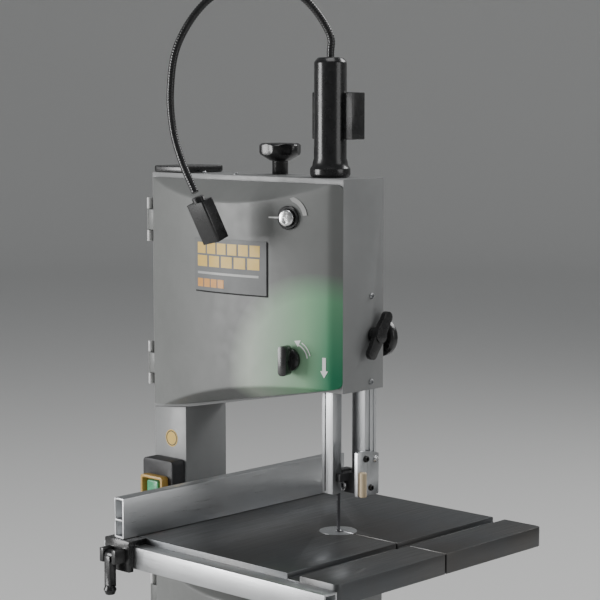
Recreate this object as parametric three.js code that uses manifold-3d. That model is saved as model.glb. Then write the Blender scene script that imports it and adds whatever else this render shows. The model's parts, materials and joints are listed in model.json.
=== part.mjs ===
// Bench-top band saw: welded steel frame with two wheel boxes joined by a column, bow-fronted doors,
// a tilting table with a fence, a rise-and-fall blade guide and a gooseneck work lamp.
// Millimetres, +Z up, doors face -Y, the column is on the left (-X), the origin is the centre of the
// base plate's underside, and the blade's mid-plane is y = 0.
import * as THREE from "three";
import { mergeVertices } from "three/addons/utils/BufferGeometryUtils.js";
import Module from "manifold-3d";

const wasm = await Module();
wasm.setup();

// ---- Driving dimensions ----
const GAP = 0.3; // clearance between touching pieces
const SHEET = 2.5; // frame sheet

const CUTTING_ROOM = 189; // table surface to the upper wheel box
const WHEEL_OVER_COLUMN = 8; // how far the wheels reach over the column
const COLUMN_WIDTH = 64;
const FRAME_FRONT = -40;
const BOX_UNDER_WHEEL_LEFT = 72; // upper box height beyond the wheel's size
const BOX_UNDER_WHEEL_RIGHT = 16;
const FLANGE_W = 13; // round the boxes' front openings

const WHEEL_D = 254; // over the tyre
const WHEEL_W = 18;
const WHEEL_ROOM = 18; // wheel to the box wall
const WHEEL_RIM = 12;
const WHEEL_SPOKES = 5;
const WHEEL_SEGMENTS = 28; // facets round half a wheel or tyre
const TYRE_T = 3;
const AXLE_R = 8;
const BEARING_R = 15;

const BLADE_W = 6.5;
const BLADE_T = 0.7;
const BLADE_GAP = 0.6; // blade to the tyres

const BASE_T = 14;
const BASE_DEPTH = 250;
const BASE_BOLT_R = 5.5;
const BASE_BOLT_INSET = 22;

const DOOR_INSET = 6.5; // frame rim left showing round the doors
const DOOR_EDGE = 12; // depth of the bevelled door edge
const DOOR_BULGE = 30;
const DOOR_SHEET = 2;
const DOOR_TOP_BEVEL = 26;
const DOOR_BOTTOM_BEVEL = 19;
const DOOR_CORNER_R = 11;

const HINGE_R = 3;
const HINGE_PIN_R = 1.4;
const HINGE_LENGTH = 60;

const LOCK_R = 10.5;
const LATCH_R = 15;
const LATCH_SHAFT_R = 5;

const TABLE_TO_COLUMN = 38;
const TABLE_RIGHT = 180; // blade to the table's right edge
const TABLE_DEPTH = 400;
const TABLE_T = 12;
const TABLE_SKIRT = 26;
const TABLE_SKIRT_T = 6;
const MITRE_SLOT_W = 19;
const MITRE_SLOT_DEPTH = 7;
const MITRE_SLOT_X = 110; // blade to the mitre slot
const INSERT_R = 25;
const INSERT_T = 5;
const INSERT_LEDGE = 4;
const TABLE_SLOT_W = 3;

const TRUNNION_R = 61;
const TRUNNION_RIM = 15;
const TRUNNION_T = 7;
const TRUNNION_SEAT = 9.1; // lower wheel box to the underside of the arcs
const TRUNNION_FRONT = -24; // rear face of the front arc
const TRUNNION_BACK = 26; // front face of the rear arc

const POST_SIZE = 22;
const POST_WALL = 3;
const POST_GAP = 15.4; // blade to the post
const POST_FRONT = 9.5;
const POST_TO_SIDE = 6.6; // post to the right side panel's outside
const POST_TO_BACK = 3;
const POST_OVER_PINION = 107;
const POST_SLOT_W = 7.5;
const POST_SLOT_DEPTH = 1.6;

const GEAR_MODULE = 1;
const PINION_TEETH = 10;
const RACK_TEETH = 44; // even, so that a gap faces the pinion's axis
const PINION_OVER_EDGE = 63; // pinion axis over the upper box's right lower edge
const HANDWHEEL_R = 26;
const HANDWHEEL_T = 14;

const GUIDE_OVER_TABLE = 65; // centre of the upper thrust bearing
const THRUST_R = 11;
const THRUST_W = 6;
const LOWER_THRUST_R = 8;
const ROLLER_R = 7;
const ROLLER_W = 5;
const ROLLER_PIN_R = 2.5;
const GUIDE_BLOCK_H = 26;
const GUIDE_CLEARANCE = 0.35; // blade to the guide faces

const GUARD_W = 19;
const GUARD_DEPTH = 18;
const GUARD_T = 2;
const GUARD_OVER_PINION = 12;

const TENSION_KNOB_R = 28.5;
const TENSION_STEM_R = 10.7;
const TENSION_STEM_H = 18;
const TENSION_HEAD_H = 24;
const TENSION_SCREW_R = 5;
const TENSION_BLOCK_W = 38;
const TRACKING_KNOB_R = 18;
const TRACKING_SCREW_R = 3.6;
const TRACKING_ARM = 30; // wheel axis to the tilt pivot, and to the tracking screw

const FENCE_INSET = 44; // table's left edge to the fence face
const FENCE_T = 18;
const FENCE_H = 52;
const FENCE_LENGTH = 420;
const FENCE_WALL = 2.5;
const RAIL_DEPTH = 22;
const RAIL_H = 28;
const RAIL_DROP = 8; // table surface to the rail's top
const RAIL_WALL = 2.5;
const CARRIAGE_W = 46;

const SWITCH_OVER_TABLE = 65;
const SWITCH_H = 92;
const SWITCH_DEPTH = 24;
const SURROUND_W = 44;
const SURROUND_H = 64;
const SURROUND_DEPTH = 12;
const SURROUND_WALL = 4;
const BUTTON_HALF = 11;

const MOTOR_R = 60;
const MOTOR_LENGTH = 150;
const MOTOR_PULLEY_R = 28;
const DRIVE_PULLEY_R = 39.2;
const BELT_T = 4;
const BELT_W = 10;

const CAP_T = 9;
const LAMP_TO_SIDE = 59;
const LAMP_FLANGE_R = 26;
const LAMP_POST_R = 21;
const LAMP_POST_H = 152;
const GOOSENECK_R = 5;
const LAMP_HEAD = { width: 31, depth: 20, length: 54 };

// ---- Places worked out from them ----
const THROAT = WHEEL_D - WHEEL_OVER_COLUMN; // column to blade
const BLADE_TO_SIDE = POST_GAP + POST_SIZE + POST_TO_SIDE;
const LEFT = -(COLUMN_WIDTH + THROAT + BLADE_TO_SIDE) / 2;
const RIGHT = -LEFT;
const COLUMN_RIGHT = LEFT + COLUMN_WIDTH;
const BLADE_X = COLUMN_RIGHT + THROAT;
const BLADE_LOOP_R = WHEEL_D / 2 + BLADE_GAP;
const WHEEL_X = BLADE_X - BLADE_LOOP_R - BLADE_T / 2;
const LOWER_Z = BASE_T + GAP + SHEET + WHEEL_ROOM + BLADE_T + BLADE_LOOP_R;
const LOWER_TOP = LOWER_Z + BLADE_LOOP_R + BLADE_T + 12 + SHEET;
const TABLE_HEIGHT = LOWER_TOP + TRUNNION_SEAT + TRUNNION_R;
const UPPER_BOX_LEFT_HEIGHT = WHEEL_D + BOX_UNDER_WHEEL_LEFT;
const UPPER_BOX_RIGHT_HEIGHT = WHEEL_D + BOX_UNDER_WHEEL_RIGHT;
const BOX_EDGE = TABLE_HEIGHT + CUTTING_ROOM; // the upper box's right lower edge
const HEIGHT = BOX_EDGE + UPPER_BOX_RIGHT_HEIGHT; // top of the upper box
const UPPER_Z = HEIGHT - SHEET - WHEEL_ROOM - BLADE_T - BLADE_LOOP_R;
const DOOR_BACK = FRAME_FRONT - GAP;
const POST_X0 = BLADE_X + POST_GAP;
const POST_X1 = POST_X0 + POST_SIZE;
const POST_BACK = POST_FRONT + POST_SIZE;
const BACK_INNER = POST_BACK + POST_TO_BACK;
const FRAME_BACK = BACK_INNER + SHEET;
const GUIDE_Z = TABLE_HEIGHT + GUIDE_OVER_TABLE;
const PINION_Z = BOX_EDGE + PINION_OVER_EDGE;
const POST_TOP = PINION_Z + POST_OVER_PINION;
const PINION_R = (GEAR_MODULE * PINION_TEETH) / 2;
const RACK_PITCH_X = POST_X1 - POST_WALL - GEAR_MODULE * 3.5;
const PINION_X = RACK_PITCH_X - PINION_R - 0.1;
const PINION_Y0 = POST_FRONT + 10.5;
const PINION_Y1 = POST_BACK - 2.5;
const TENSION_Y = 24.5;
const ARM_BACK = 18;
const TILT_Y = ARM_BACK + 2.5;
const LOCK = { x: RIGHT - 67, z: HEIGHT - 49 };
const LATCH = { x: RIGHT - 65, z: BOX_EDGE + 41 };
const KNOB_Y = POST_FRONT + 6;
const KNOB_Z = PINION_Z + 7.5;
const TABLE_BOTTOM = TABLE_HEIGHT - TABLE_T;
const TABLE_X0 = COLUMN_RIGHT + TABLE_TO_COLUMN;
const TABLE_X1 = BLADE_X + TABLE_RIGHT;
const TABLE_FRONT = -TABLE_DEPTH / 2;
const FENCE_X1 = TABLE_X0 + FENCE_INSET;
const FENCE_X0 = FENCE_X1 - FENCE_T;
const FENCE_X = (FENCE_X0 + FENCE_X1) / 2;
const LEVER_PIN = { y: TABLE_FRONT - RAIL_DEPTH - 16, z: TABLE_HEIGHT - RAIL_DROP - 11 };
const SWITCH_X = LEFT + COLUMN_WIDTH / 2;
const SWITCH_TOP = TABLE_HEIGHT + SWITCH_OVER_TABLE;
const SWITCH_FRONT = FRAME_FRONT - GAP - SWITCH_DEPTH;
const MOTOR = { x: WHEEL_X - 92, z: LOWER_Z - 48 };
const DUST = { x: RIGHT - 94, z: BASE_T + 44 };
const LAMP_X = RIGHT - LAMP_TO_SIDE;

// ---- Materials ----
const finish = (color, roughness, metalness) =>
  new THREE.MeshStandardMaterial({ color, roughness, metalness });
const framePaint = finish(0xc4c6c6, 0.45, 0.1);
const doorPaint = finish(0x9aa39c, 0.4, 0.1);
const hingePaint = finish(0xe6e6e4, 0.4, 0.1);
const blackPlastic = finish(0x151515, 0.35, 0);
const castIron = finish(0x4a4c4e, 0.5, 0.6);
const aluminium = finish(0xc9cbcc, 0.35, 0.9);
const steel = finish(0xa7a9ab, 0.3, 1);
const rubber = finish(0x1b1b1b, 0.8, 0);
const yellowPlastic = finish(0xc9a24a, 0.4, 0);
const greenPlastic = finish(0x9cc4b0, 0.3, 0);
const redPlastic = finish(0xb3211c, 0.35, 0);

// ---- Solid helpers ----
// Vertices shared and slivers of no area dropped, so that a closed surface is one closed mesh.
function clean(geometry) {
  const bare = geometry.clone();
  bare.deleteAttribute("normal");
  bare.deleteAttribute("uv");
  const merged = mergeVertices(bare, 1e-4);
  const index = [];
  const source = merged.index.array;
  for (let i = 0; i < source.length; i += 3) {
    const [a, b, c] = [source[i], source[i + 1], source[i + 2]];
    if (a !== b && b !== c && a !== c) index.push(a, b, c);
  }
  merged.setIndex(index);
  return merged;
}

function toSolid(geometry) {
  const { attributes, index } = clean(geometry);
  return new wasm.Manifold(
    new wasm.Mesh({
      numProp: 3,
      vertProperties: new Float32Array(attributes.position.array),
      triVerts: new Uint32Array(index.array),
    }),
  );
}

function toGeometry(solid) {
  const { vertProperties, triVerts } = solid.getMesh();
  const geometry = new THREE.BufferGeometry();
  geometry.setAttribute("position", new THREE.BufferAttribute(vertProperties, 3));
  geometry.setIndex(new THREE.BufferAttribute(triVerts, 1));
  return geometry;
}

const join = (first, ...rest) =>
  toGeometry(rest.reduce((solid, piece) => solid.add(toSolid(piece)), toSolid(first)));
const cut = (first, ...tools) =>
  toGeometry(tools.reduce((solid, tool) => solid.subtract(toSolid(tool)), toSolid(first)));
const common = (first, ...rest) =>
  toGeometry(rest.reduce((solid, piece) => solid.intersect(toSolid(piece)), toSolid(first)));

function box(x0, x1, y0, y1, z0, z1) {
  const geometry = new THREE.BoxGeometry(x1 - x0, y1 - y0, z1 - z0);
  return geometry.translate((x0 + x1) / 2, (y0 + y1) / 2, (z0 + z1) / 2);
}

// A round bar along one axis, from one place on it to another; a and b are its other coordinates.
function bar(axis, radius, from, to, a, b, sides = 32, endRadius = radius) {
  const geometry = new THREE.CylinderGeometry(endRadius, radius, to - from, sides);
  const middle = (from + to) / 2;
  if (axis === "x") return geometry.rotateZ(-Math.PI / 2).translate(middle, a, b);
  if (axis === "y") return geometry.translate(a, middle, b);
  return geometry.rotateX(Math.PI / 2).translate(a, b, middle);
}

// A polygon with every corner rounded by the same radius.
function outline(points, radius = 0) {
  const shape = new THREE.Shape();
  const at = (i) => new THREE.Vector2(...points[(i + points.length) % points.length]);
  points.forEach((_, i) => {
    const corner = at(i);
    const start = corner.clone().add(at(i - 1).sub(corner).setLength(radius));
    const end = corner.clone().add(at(i + 1).sub(corner).setLength(radius));
    if (i === 0) shape.moveTo(start.x, start.y);
    else shape.lineTo(start.x, start.y);
    if (radius > 0) shape.quadraticCurveTo(corner.x, corner.y, end.x, end.y);
  });
  shape.closePath();
  return shape;
}

// The same polygon with every edge moved inwards; the corners run anticlockwise.
function inset(points, distance) {
  const lines = points.map((point, i) => {
    const next = points[(i + 1) % points.length];
    const along = new THREE.Vector2(next[0] - point[0], next[1] - point[1]).normalize();
    return { x: point[0] - along.y * distance, y: point[1] + along.x * distance, along };
  });
  return lines.map((line, i) => {
    const before = lines[(i + lines.length - 1) % lines.length];
    const cross = before.along.x * line.along.y - before.along.y * line.along.x;
    const dx = line.x - before.x;
    const dy = line.y - before.y;
    const t = (dx * line.along.y - dy * line.along.x) / cross;
    return [before.x + before.along.x * t, before.y + before.along.y * t];
  });
}

const extrude = (shape, depth, curveSegments = 5) =>
  new THREE.ExtrudeGeometry(shape, { depth, bevelEnabled: false, curveSegments });
// Shapes drawn in XZ, XY and YZ, drawn out along the third axis.
const alongY = (shape, y0, y1, segments) =>
  extrude(shape, y1 - y0, segments).rotateX(Math.PI / 2).translate(0, y1, 0);
const alongZ = (shape, z0, z1, segments) => extrude(shape, z1 - z0, segments).translate(0, 0, z0);
const YZ_TO_X = new THREE.Matrix4().makeBasis(
  new THREE.Vector3(0, 1, 0),
  new THREE.Vector3(0, 0, 1),
  new THREE.Vector3(1, 0, 0),
);
const alongX = (shape, x0, x1, segments) =>
  extrude(shape, x1 - x0, segments).applyMatrix4(YZ_TO_X).translate(x0, 0, 0);

// A turned piece about the Y axis, from a profile of [radius, y] points that runs from low to high y.
const turned = (profile, sides = 40) =>
  new THREE.LatheGeometry(profile.map(([r, y]) => new THREE.Vector2(r, y)), sides);

const circle = (radius, x = 0, y = 0) => new THREE.Shape().absarc(x, y, radius, 0, Math.PI * 2);

function ring(outer, inner, x = 0, y = 0) {
  const shape = circle(outer, x, y);
  shape.holes.push(new THREE.Path().absarc(x, y, inner, 0, Math.PI * 2, true));
  return shape;
}

// A round knob with finger lobes, seen from its end.
function lobed(radius, lobes, depth, steps = 6) {
  const points = [];
  for (let i = 0; i < lobes * steps; i += 1) {
    const angle = (i / (lobes * steps)) * Math.PI * 2;
    const r = radius - depth * (0.5 - 0.5 * Math.cos(lobes * angle));
    points.push([r * Math.cos(angle), r * Math.sin(angle)]);
  }
  return points;
}

const model = new THREE.Group();

function mesh(name, geometry, material, parent = model) {
  const object = new THREE.Mesh(clean(geometry), material);
  object.name = name;
  parent.add(object);
  return object;
}

function group(x, y, z, parent = model) {
  const object = new THREE.Group();
  object.position.set(x, y, z);
  parent.add(object);
  return object;
}

// ---- Frame ----
const UPPER_OUTLINE = [
  [LEFT, HEIGHT - UPPER_BOX_LEFT_HEIGHT],
  [COLUMN_RIGHT + 8, HEIGHT - UPPER_BOX_LEFT_HEIGHT + 7.5],
  [BLADE_X + 7, HEIGHT - UPPER_BOX_RIGHT_HEIGHT - 1.5],
  [RIGHT, HEIGHT - UPPER_BOX_RIGHT_HEIGHT],
  [RIGHT, HEIGHT],
  [LEFT, HEIGHT],
];
const LOWER_OUTLINE = [
  [LEFT, BASE_T + GAP],
  [RIGHT, BASE_T + GAP],
  [RIGHT, LOWER_TOP],
  [LEFT, LOWER_TOP],
];

// A box open at the front, with a flange round the opening for the door to close on.
const boxShell = (points) =>
  cut(
    alongY(outline(points), FRAME_FRONT, FRAME_BACK),
    alongY(outline(inset(points, SHEET)), FRAME_FRONT + SHEET, BACK_INNER),
    alongY(outline(inset(points, FLANGE_W), 6), FRAME_FRONT - 1, FRAME_FRONT + SHEET + 1, 3),
  );

const columnBore = (z0, z1) =>
  box(LEFT + SHEET, COLUMN_RIGHT - SHEET, FRAME_FRONT + SHEET, BACK_INNER, z0, z1);

function upperWheelBox() {
  return cut(
    boxShell(UPPER_OUTLINE),
    columnBore(UPPER_OUTLINE[0][1] - 5, UPPER_OUTLINE[1][1] + 8),
    box(BLADE_X - 16, RIGHT - SHEET, FRAME_FRONT + 12, BACK_INNER, BOX_EDGE - 30, BOX_EDGE + 11),
    bar("z", TENSION_STEM_R - 2, HEIGHT - 8, HEIGHT + 1, WHEEL_X, TENSION_Y),
    bar("y", TRACKING_SCREW_R + 1, BACK_INNER - 1, FRAME_BACK + 1, WHEEL_X, UPPER_Z - TRACKING_ARM, 20),
    bar("y", LATCH_SHAFT_R, BACK_INNER - 1, FRAME_BACK + 1, PINION_X, PINION_Z),
    bar("x", LATCH_SHAFT_R, RIGHT - 8, RIGHT + 1, KNOB_Y, KNOB_Z),
  );
}

function column() {
  const clear = outline(inset(UPPER_OUTLINE, -GAP));
  const low = LOWER_TOP + GAP;
  return cut(
    box(LEFT, COLUMN_RIGHT, FRAME_FRONT, FRAME_BACK, low, UPPER_OUTLINE[1][1] + 6),
    columnBore(low - 1, UPPER_OUTLINE[1][1] + 8),
    alongY(clear, FRAME_FRONT - 5, FRAME_BACK + 5),
  );
}

function lowerWheelBox() {
  return cut(
    boxShell(LOWER_OUTLINE),
    columnBore(LOWER_TOP - 8, LOWER_TOP + 5),
    box(BLADE_X - 9, BLADE_X + 9, -6, 6, LOWER_TOP - 8, LOWER_TOP + 5),
    bar("y", 14, BACK_INNER - 1, FRAME_BACK + 1, MOTOR.x, MOTOR.z),
    bar("y", 25, BACK_INNER - 1, FRAME_BACK + 1, DUST.x, DUST.z),
  );
}

function basePlate() {
  const x = RIGHT - 2;
  const y = BASE_DEPTH / 2;
  const plate = alongZ(outline([[-x, -y], [x, -y], [x, y], [-x, y]], 18), 0, BASE_T);
  const holes = [-1, 1].flatMap((sx) =>
    [-1, 1].map((sy) =>
      bar("z", BASE_BOLT_R, -1, BASE_T + 1, sx * (x - BASE_BOLT_INSET), sy * (y - BASE_BOLT_INSET), 12),
    ),
  );
  return cut(plate, ...holes);
}

function columnCap() {
  const points = [
    [LEFT, FRAME_FRONT],
    [COLUMN_RIGHT, FRAME_FRONT],
    [COLUMN_RIGHT, FRAME_BACK],
    [LEFT, FRAME_BACK],
  ];
  return alongZ(outline(points, 9), HEIGHT + GAP, HEIGHT + GAP + CAP_T);
}

function dustPort() {
  return alongY(ring(29, 26, DUST.x, DUST.z), FRAME_BACK + GAP, FRAME_BACK + 34, 8);
}

// ---- Doors and their hinges ----
const HINGE_X = LEFT - HINGE_R;
const HINGE_Y = DOOR_BACK - HINGE_R - 0.5;
const SLOPE =
  (UPPER_OUTLINE[2][1] - UPPER_OUTLINE[1][1]) / (UPPER_OUTLINE[2][0] - UPPER_OUTLINE[1][0]);

const UPPER_DOOR = {
  x0: LEFT + 2,
  x1: RIGHT - 0.5,
  top: HEIGHT - DOOR_INSET,
  bottom: [
    [LEFT + 2, UPPER_OUTLINE[0][1] + DOOR_INSET],
    [UPPER_OUTLINE[1][0] + 10, UPPER_OUTLINE[1][1] + DOOR_INSET + 2],
    [RIGHT - 0.5, UPPER_OUTLINE[2][1] + DOOR_INSET + 5],
  ],
  slope: SLOPE,
  hinges: [HEIGHT - 35, UPPER_OUTLINE[0][1] + 92],
};
const LOWER_DOOR = {
  x0: LEFT + 2,
  x1: RIGHT - 0.5,
  top: LOWER_TOP - DOOR_INSET,
  bottom: [
    [LEFT + 2, BASE_T + DOOR_INSET],
    [RIGHT - 0.5, BASE_T + DOOR_INSET],
  ],
  slope: 0,
  hinges: [LOWER_TOP - 35, BASE_T + 95],
};

// How far forward the door's bowed face stands at x.
function doorFront(door, x, t = 0) {
  const half = (door.x1 - door.x0) / 2 - DOOR_EDGE;
  const u = (x - (door.x0 + door.x1) / 2) / half;
  return DOOR_BACK - DOOR_EDGE + t - DOOR_BULGE * (1 - u * u);
}

// The door's outer form, or with t its hollow, t inside it and open at the back.
function doorForm(door, t) {
  const steps = 14;
  const edge = DOOR_BACK - DOOR_EDGE;
  const back = t > 0 ? DOOR_BACK + 4 : DOOR_BACK;
  const x0 = door.x0 + DOOR_EDGE;
  const x1 = door.x1 - DOOR_EDGE;
  const plan = [[door.x1 - t, back]];
  if (t > 0) plan.push([door.x1 - t, DOOR_BACK]);
  for (let i = 0; i <= steps; i += 1) {
    const x = x1 + ((x0 - x1) * i) / steps;
    plan.push([x, doorFront(door, x, t)]);
  }
  if (t > 0) plan.push([door.x0 + t, DOOR_BACK]);
  plan.push([door.x0 + t, back]);
  plan.reverse();

  const left = door.bottom[0];
  const right = door.bottom[door.bottom.length - 1];
  const face = [...door.bottom, [door.x1, door.top], [door.x0, door.top]];
  const deep = edge - 2 * DOOR_BULGE;
  const topBevel = [
    [20, 0],
    [20, door.top - t],
    [edge, door.top - t],
    [deep, door.top - t - 2 * DOOR_TOP_BEVEL],
    [deep, 0],
  ];
  const low = right[1] + t;
  const bottomBevel = [
    [20, low],
    [20, door.top + 400],
    [deep, door.top + 400],
    [deep, low + 2 * DOOR_BOTTOM_BEVEL],
    [edge, low],
  ];
  const shear = new THREE.Matrix4().makeShear(0, door.slope, 0, 0, 0, 0);
  shear.setPosition(0, 0, -door.slope * right[0]);
  const wide = [door.x0 - 20, door.x1 + 20];
  return common(
    alongZ(outline(plan), left[1] - 50, door.top + 10),
    alongY(outline(inset(face, t), DOOR_CORNER_R - t), -200, 50),
    alongX(outline(topBevel), ...wide),
    alongX(outline(bottomBevel), ...wide).applyMatrix4(shear),
  );
}

// A hinge's knuckle: a web out to a barrel that turns on the pin.
function doorKnuckle(door, top) {
  const z1 = top - HINGE_LENGTH / 4 - GAP;
  const z0 = top - (HINGE_LENGTH * 3) / 4 + GAP;
  return [
    join(
      bar("z", HINGE_R, z0, z1, HINGE_X, HINGE_Y, 14),
      box(HINGE_X, door.x0 + 7, HINGE_Y - 3, HINGE_Y, z0, z1),
    ),
    bar("z", HINGE_PIN_R + GAP, z0 - 1, z1 + 1, HINGE_X, HINGE_Y, 10),
  ];
}

function doorPanel(door, holes) {
  const shell = cut(doorForm(door, 0), doorForm(door, DOOR_SHEET), ...holes);
  const knuckles = door.hinges.map((top) => doorKnuckle(door, top));
  return cut(join(shell, ...knuckles.map(([web]) => web)), ...knuckles.map(([, bore]) => bore));
}

// A leaf on the box's side with two barrels and the pin, cut back where the door's knuckle turns.
function hinge(top) {
  const bottom = top - HINGE_LENGTH;
  const upper = top - HINGE_LENGTH / 4;
  const lower = top - (HINGE_LENGTH * 3) / 4;
  const leaf = join(
    box(LEFT - GAP - 2, LEFT - GAP, HINGE_Y, FRAME_FRONT + 26, bottom, top),
    bar("z", HINGE_R, upper, top, HINGE_X, HINGE_Y, 14),
    bar("z", HINGE_R, bottom, lower, HINGE_X, HINGE_Y, 14),
  );
  const room = bar("z", HINGE_R + GAP, lower, upper, HINGE_X, HINGE_Y, 14);
  const pin = bar("z", HINGE_PIN_R, bottom + 1, top - 1, HINGE_X, HINGE_Y, 10);
  return join(cut(leaf, room), pin);
}

// Places a piece on the door's bowed face, its own -Y axis along the face's outward normal there.
function onDoor(door, x, z, standOff, parent = model) {
  const slope = (doorFront(door, x + 1) - doorFront(door, x - 1)) / 2;
  const angle = Math.atan(slope);
  const y = doorFront(door, x) - Math.cos(angle) * standOff;
  const place = group(x + Math.sin(angle) * standOff, y, z, parent);
  place.rotation.z = angle;
  return place;
}

function doorHole(door, x, z, radius) {
  const slope = (doorFront(door, x + 1) - doorFront(door, x - 1)) / 2;
  const hole = bar("y", radius, -20, 12, 0, 0, 24).rotateZ(Math.atan(slope));
  return hole.translate(x, doorFront(door, x), z);
}

// The keyed lock's turning barrel: a slotted face, and a cam behind the door.
function lockBarrel() {
  const reach = 12;
  return cut(
    join(
      turned([[0, -9], [LOCK_R - 2, -9], [LOCK_R, -7.5], [LOCK_R, reach], [0, reach]], 28),
      box(-5, 22, reach - 3, reach, -5, 5),
    ),
    box(-1.2, 1.2, -10, -6.5, -7, 7),
  );
}

// A twist knob with one upright grip, its shaft, and the latch bar behind the door.
function twistKnob() {
  const grip = outline([[-6, -19], [6, -19], [6, 19], [-6, 19]], 5.5);
  return join(
    turned([[0, -7], [LATCH_R - 2, -7], [LATCH_R, -5], [LATCH_R, 0], [0, 0]], 28),
    alongY(grip, -21, -6),
    bar("y", LATCH_SHAFT_R - GAP, -1, 14, 0, 0, 20),
    box(-5, 26, 11, 14, -6, 6),
  );
}

// ---- Wheels, axles and drive ----
function wheelBody(pulley) {
  const outer = WHEEL_D / 2 - TYRE_T - GAP;
  const shape = circle(outer);
  shape.holes.push(new THREE.Path().absarc(0, 0, AXLE_R + GAP, 0, Math.PI * 2, true));
  const half = WHEEL_W / 2;
  const windows = [];
  for (let i = 0; i < WHEEL_SPOKES; i += 1) {
    const start = (i / WHEEL_SPOKES) * Math.PI * 2 + 0.16;
    const end = ((i + 1) / WHEEL_SPOKES) * Math.PI * 2 - 0.16;
    const window = new THREE.Shape();
    window.absarc(0, 0, outer - WHEEL_RIM, start, end, false);
    window.absarc(0, 0, BEARING_R + 19, end - 0.12, start + 0.12, true);
    window.closePath();
    windows.push(alongY(window, -half - 1, half + 1, 4));
  }
  const dish = (y0, y1) => alongY(ring(outer - WHEEL_RIM + 5, BEARING_R + 4), y0, y1, 14);
  const disc = alongY(shape, -half, half, WHEEL_SEGMENTS);
  const lightened = cut(disc, dish(-half - 1, -3), dish(3, half + 1), ...windows);
  if (!pulley) return lightened;
  const hub = ring(DRIVE_PULLEY_R - BELT_T, AXLE_R + 3);
  const flange = ring(DRIVE_PULLEY_R + 2, AXLE_R + 3);
  return join(
    lightened,
    alongY(ring(BEARING_R + 10, AXLE_R + 3), 2, half + 2, 12),
    alongY(flange, half + 1, half + 3, 10),
    alongY(hub, half + 2, half + 5 + BELT_W, 10),
    alongY(flange, half + 4 + BELT_W, half + 6 + BELT_W, 10),
  );
}

const tyre = () =>
  alongY(ring(WHEEL_D / 2, WHEEL_D / 2 - TYRE_T), -WHEEL_W / 2, WHEEL_W / 2, WHEEL_SEGMENTS);

// Stub axle and the arm behind it, which tilts for blade tracking.
function axleArm() {
  const reach = TRACKING_ARM + 7;
  const arm = alongY(outline([[-14, -reach], [14, -reach], [14, reach], [-14, reach]], 6), 12, ARM_BACK);
  return join(
    arm,
    bar("y", AXLE_R, -WHEEL_W / 2 - 6, 13, 0, 0, 28),
    bar("y", 12, -WHEEL_W / 2 - 9, -WHEEL_W / 2 - 4, 0, 0, 6),
  );
}

function lowerAxle() {
  return join(
    bar("y", AXLE_R, -WHEEL_W / 2 - 6, BACK_INNER - 2, 0, 0, 28),
    bar("y", 12, -WHEEL_W / 2 - 9, -WHEEL_W / 2 - 4, 0, 0, 6),
    bar("y", 28, BACK_INNER - GAP - 4, BACK_INNER - GAP, 0, 0, 32),
  );
}

// The block that slides on the tension rails, with the rounded rib that the arm tilts on.
function tensionBlock() {
  const top = TRACKING_ARM + 12;
  const y0 = ARM_BACK + 3;
  const y1 = BACK_INNER - GAP;
  return cut(
    join(
      box(-TENSION_BLOCK_W / 2, TENSION_BLOCK_W / 2, y0, y1, -8, top),
      box(-TENSION_BLOCK_W / 2, TENSION_BLOCK_W / 2, TENSION_Y - 10, y0 + 1, TRACKING_ARM + 8.5, top),
      bar("x", TILT_Y - ARM_BACK - GAP, -12, 12, TILT_Y, TRACKING_ARM, 16),
    ),
    bar("z", TENSION_SCREW_R + GAP, top - 26, top + 1, 0, TENSION_Y, 24),
  );
}

// Two rails welded to the box's back, joined below the block by the plate that holds the tracking
// screw.
function tensionRails() {
  const y0 = ARM_BACK + 3;
  const y1 = BACK_INNER - GAP;
  const x0 = TENSION_BLOCK_W / 2 + GAP;
  const x1 = x0 + 8;
  const low = -TRACKING_ARM - 9;
  const top = TRACKING_ARM + 22;
  return cut(
    join(
      box(-x1, -x0, y0, y1, low, top),
      box(x0, x1, y0, y1, low, top),
      box(-x1, x1, y0 + 4, y1, low, -TRACKING_ARM + 9),
    ),
    bar("y", TRACKING_SCREW_R + GAP, y0, y1 + 1, 0, -TRACKING_ARM, 20),
  );
}

function tensionKnob() {
  const stem = bar("z", TENSION_STEM_R, 0, TENSION_STEM_H + 4, 0, 0, 28);
  const head = alongZ(outline(lobed(TENSION_KNOB_R, 6, 3)), TENSION_STEM_H, TENSION_STEM_H + TENSION_HEAD_H);
  const form = turned(
    [
      [0, TENSION_STEM_H],
      [TENSION_STEM_R + 3, TENSION_STEM_H],
      [TENSION_KNOB_R - 2, TENSION_STEM_H + 8],
      [TENSION_KNOB_R + 1, TENSION_STEM_H + 14],
      [TENSION_KNOB_R, TENSION_STEM_H + 20],
      [TENSION_KNOB_R - 4, TENSION_STEM_H + 23.2],
      [0, TENSION_STEM_H + TENSION_HEAD_H],
    ],
    24,
  ).rotateX(Math.PI / 2);
  return join(stem, common(head, form));
}

// Threaded rod from the knob down into the tension block, with a collar under the box's top.
function tensionScrew(blockTop) {
  const under = HEIGHT - SHEET - UPPER_Z;
  return join(
    bar("z", TENSION_SCREW_R, blockTop - 24, under + SHEET, 0, TENSION_Y, 24),
    bar("z", 9, under - 5, under - GAP, 0, TENSION_Y, 24),
  );
}

class Helix extends THREE.Curve {
  constructor(radius, pitch, turns) {
    super();
    Object.assign(this, { radius, pitch, turns });
  }

  getPoint(t) {
    const angle = t * this.turns * Math.PI * 2;
    const height = t * this.turns * this.pitch;
    return new THREE.Vector3(this.radius * Math.cos(angle), this.radius * Math.sin(angle), height);
  }
}

function spring(radius, wire, length, turns) {
  const helix = new Helix(radius, (length - 2 * wire) / turns, turns);
  const settings = { steps: turns * 9, extrudePath: helix, curveSegments: 3 };
  return new THREE.ExtrudeGeometry(circle(wire), settings);
}

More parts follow.
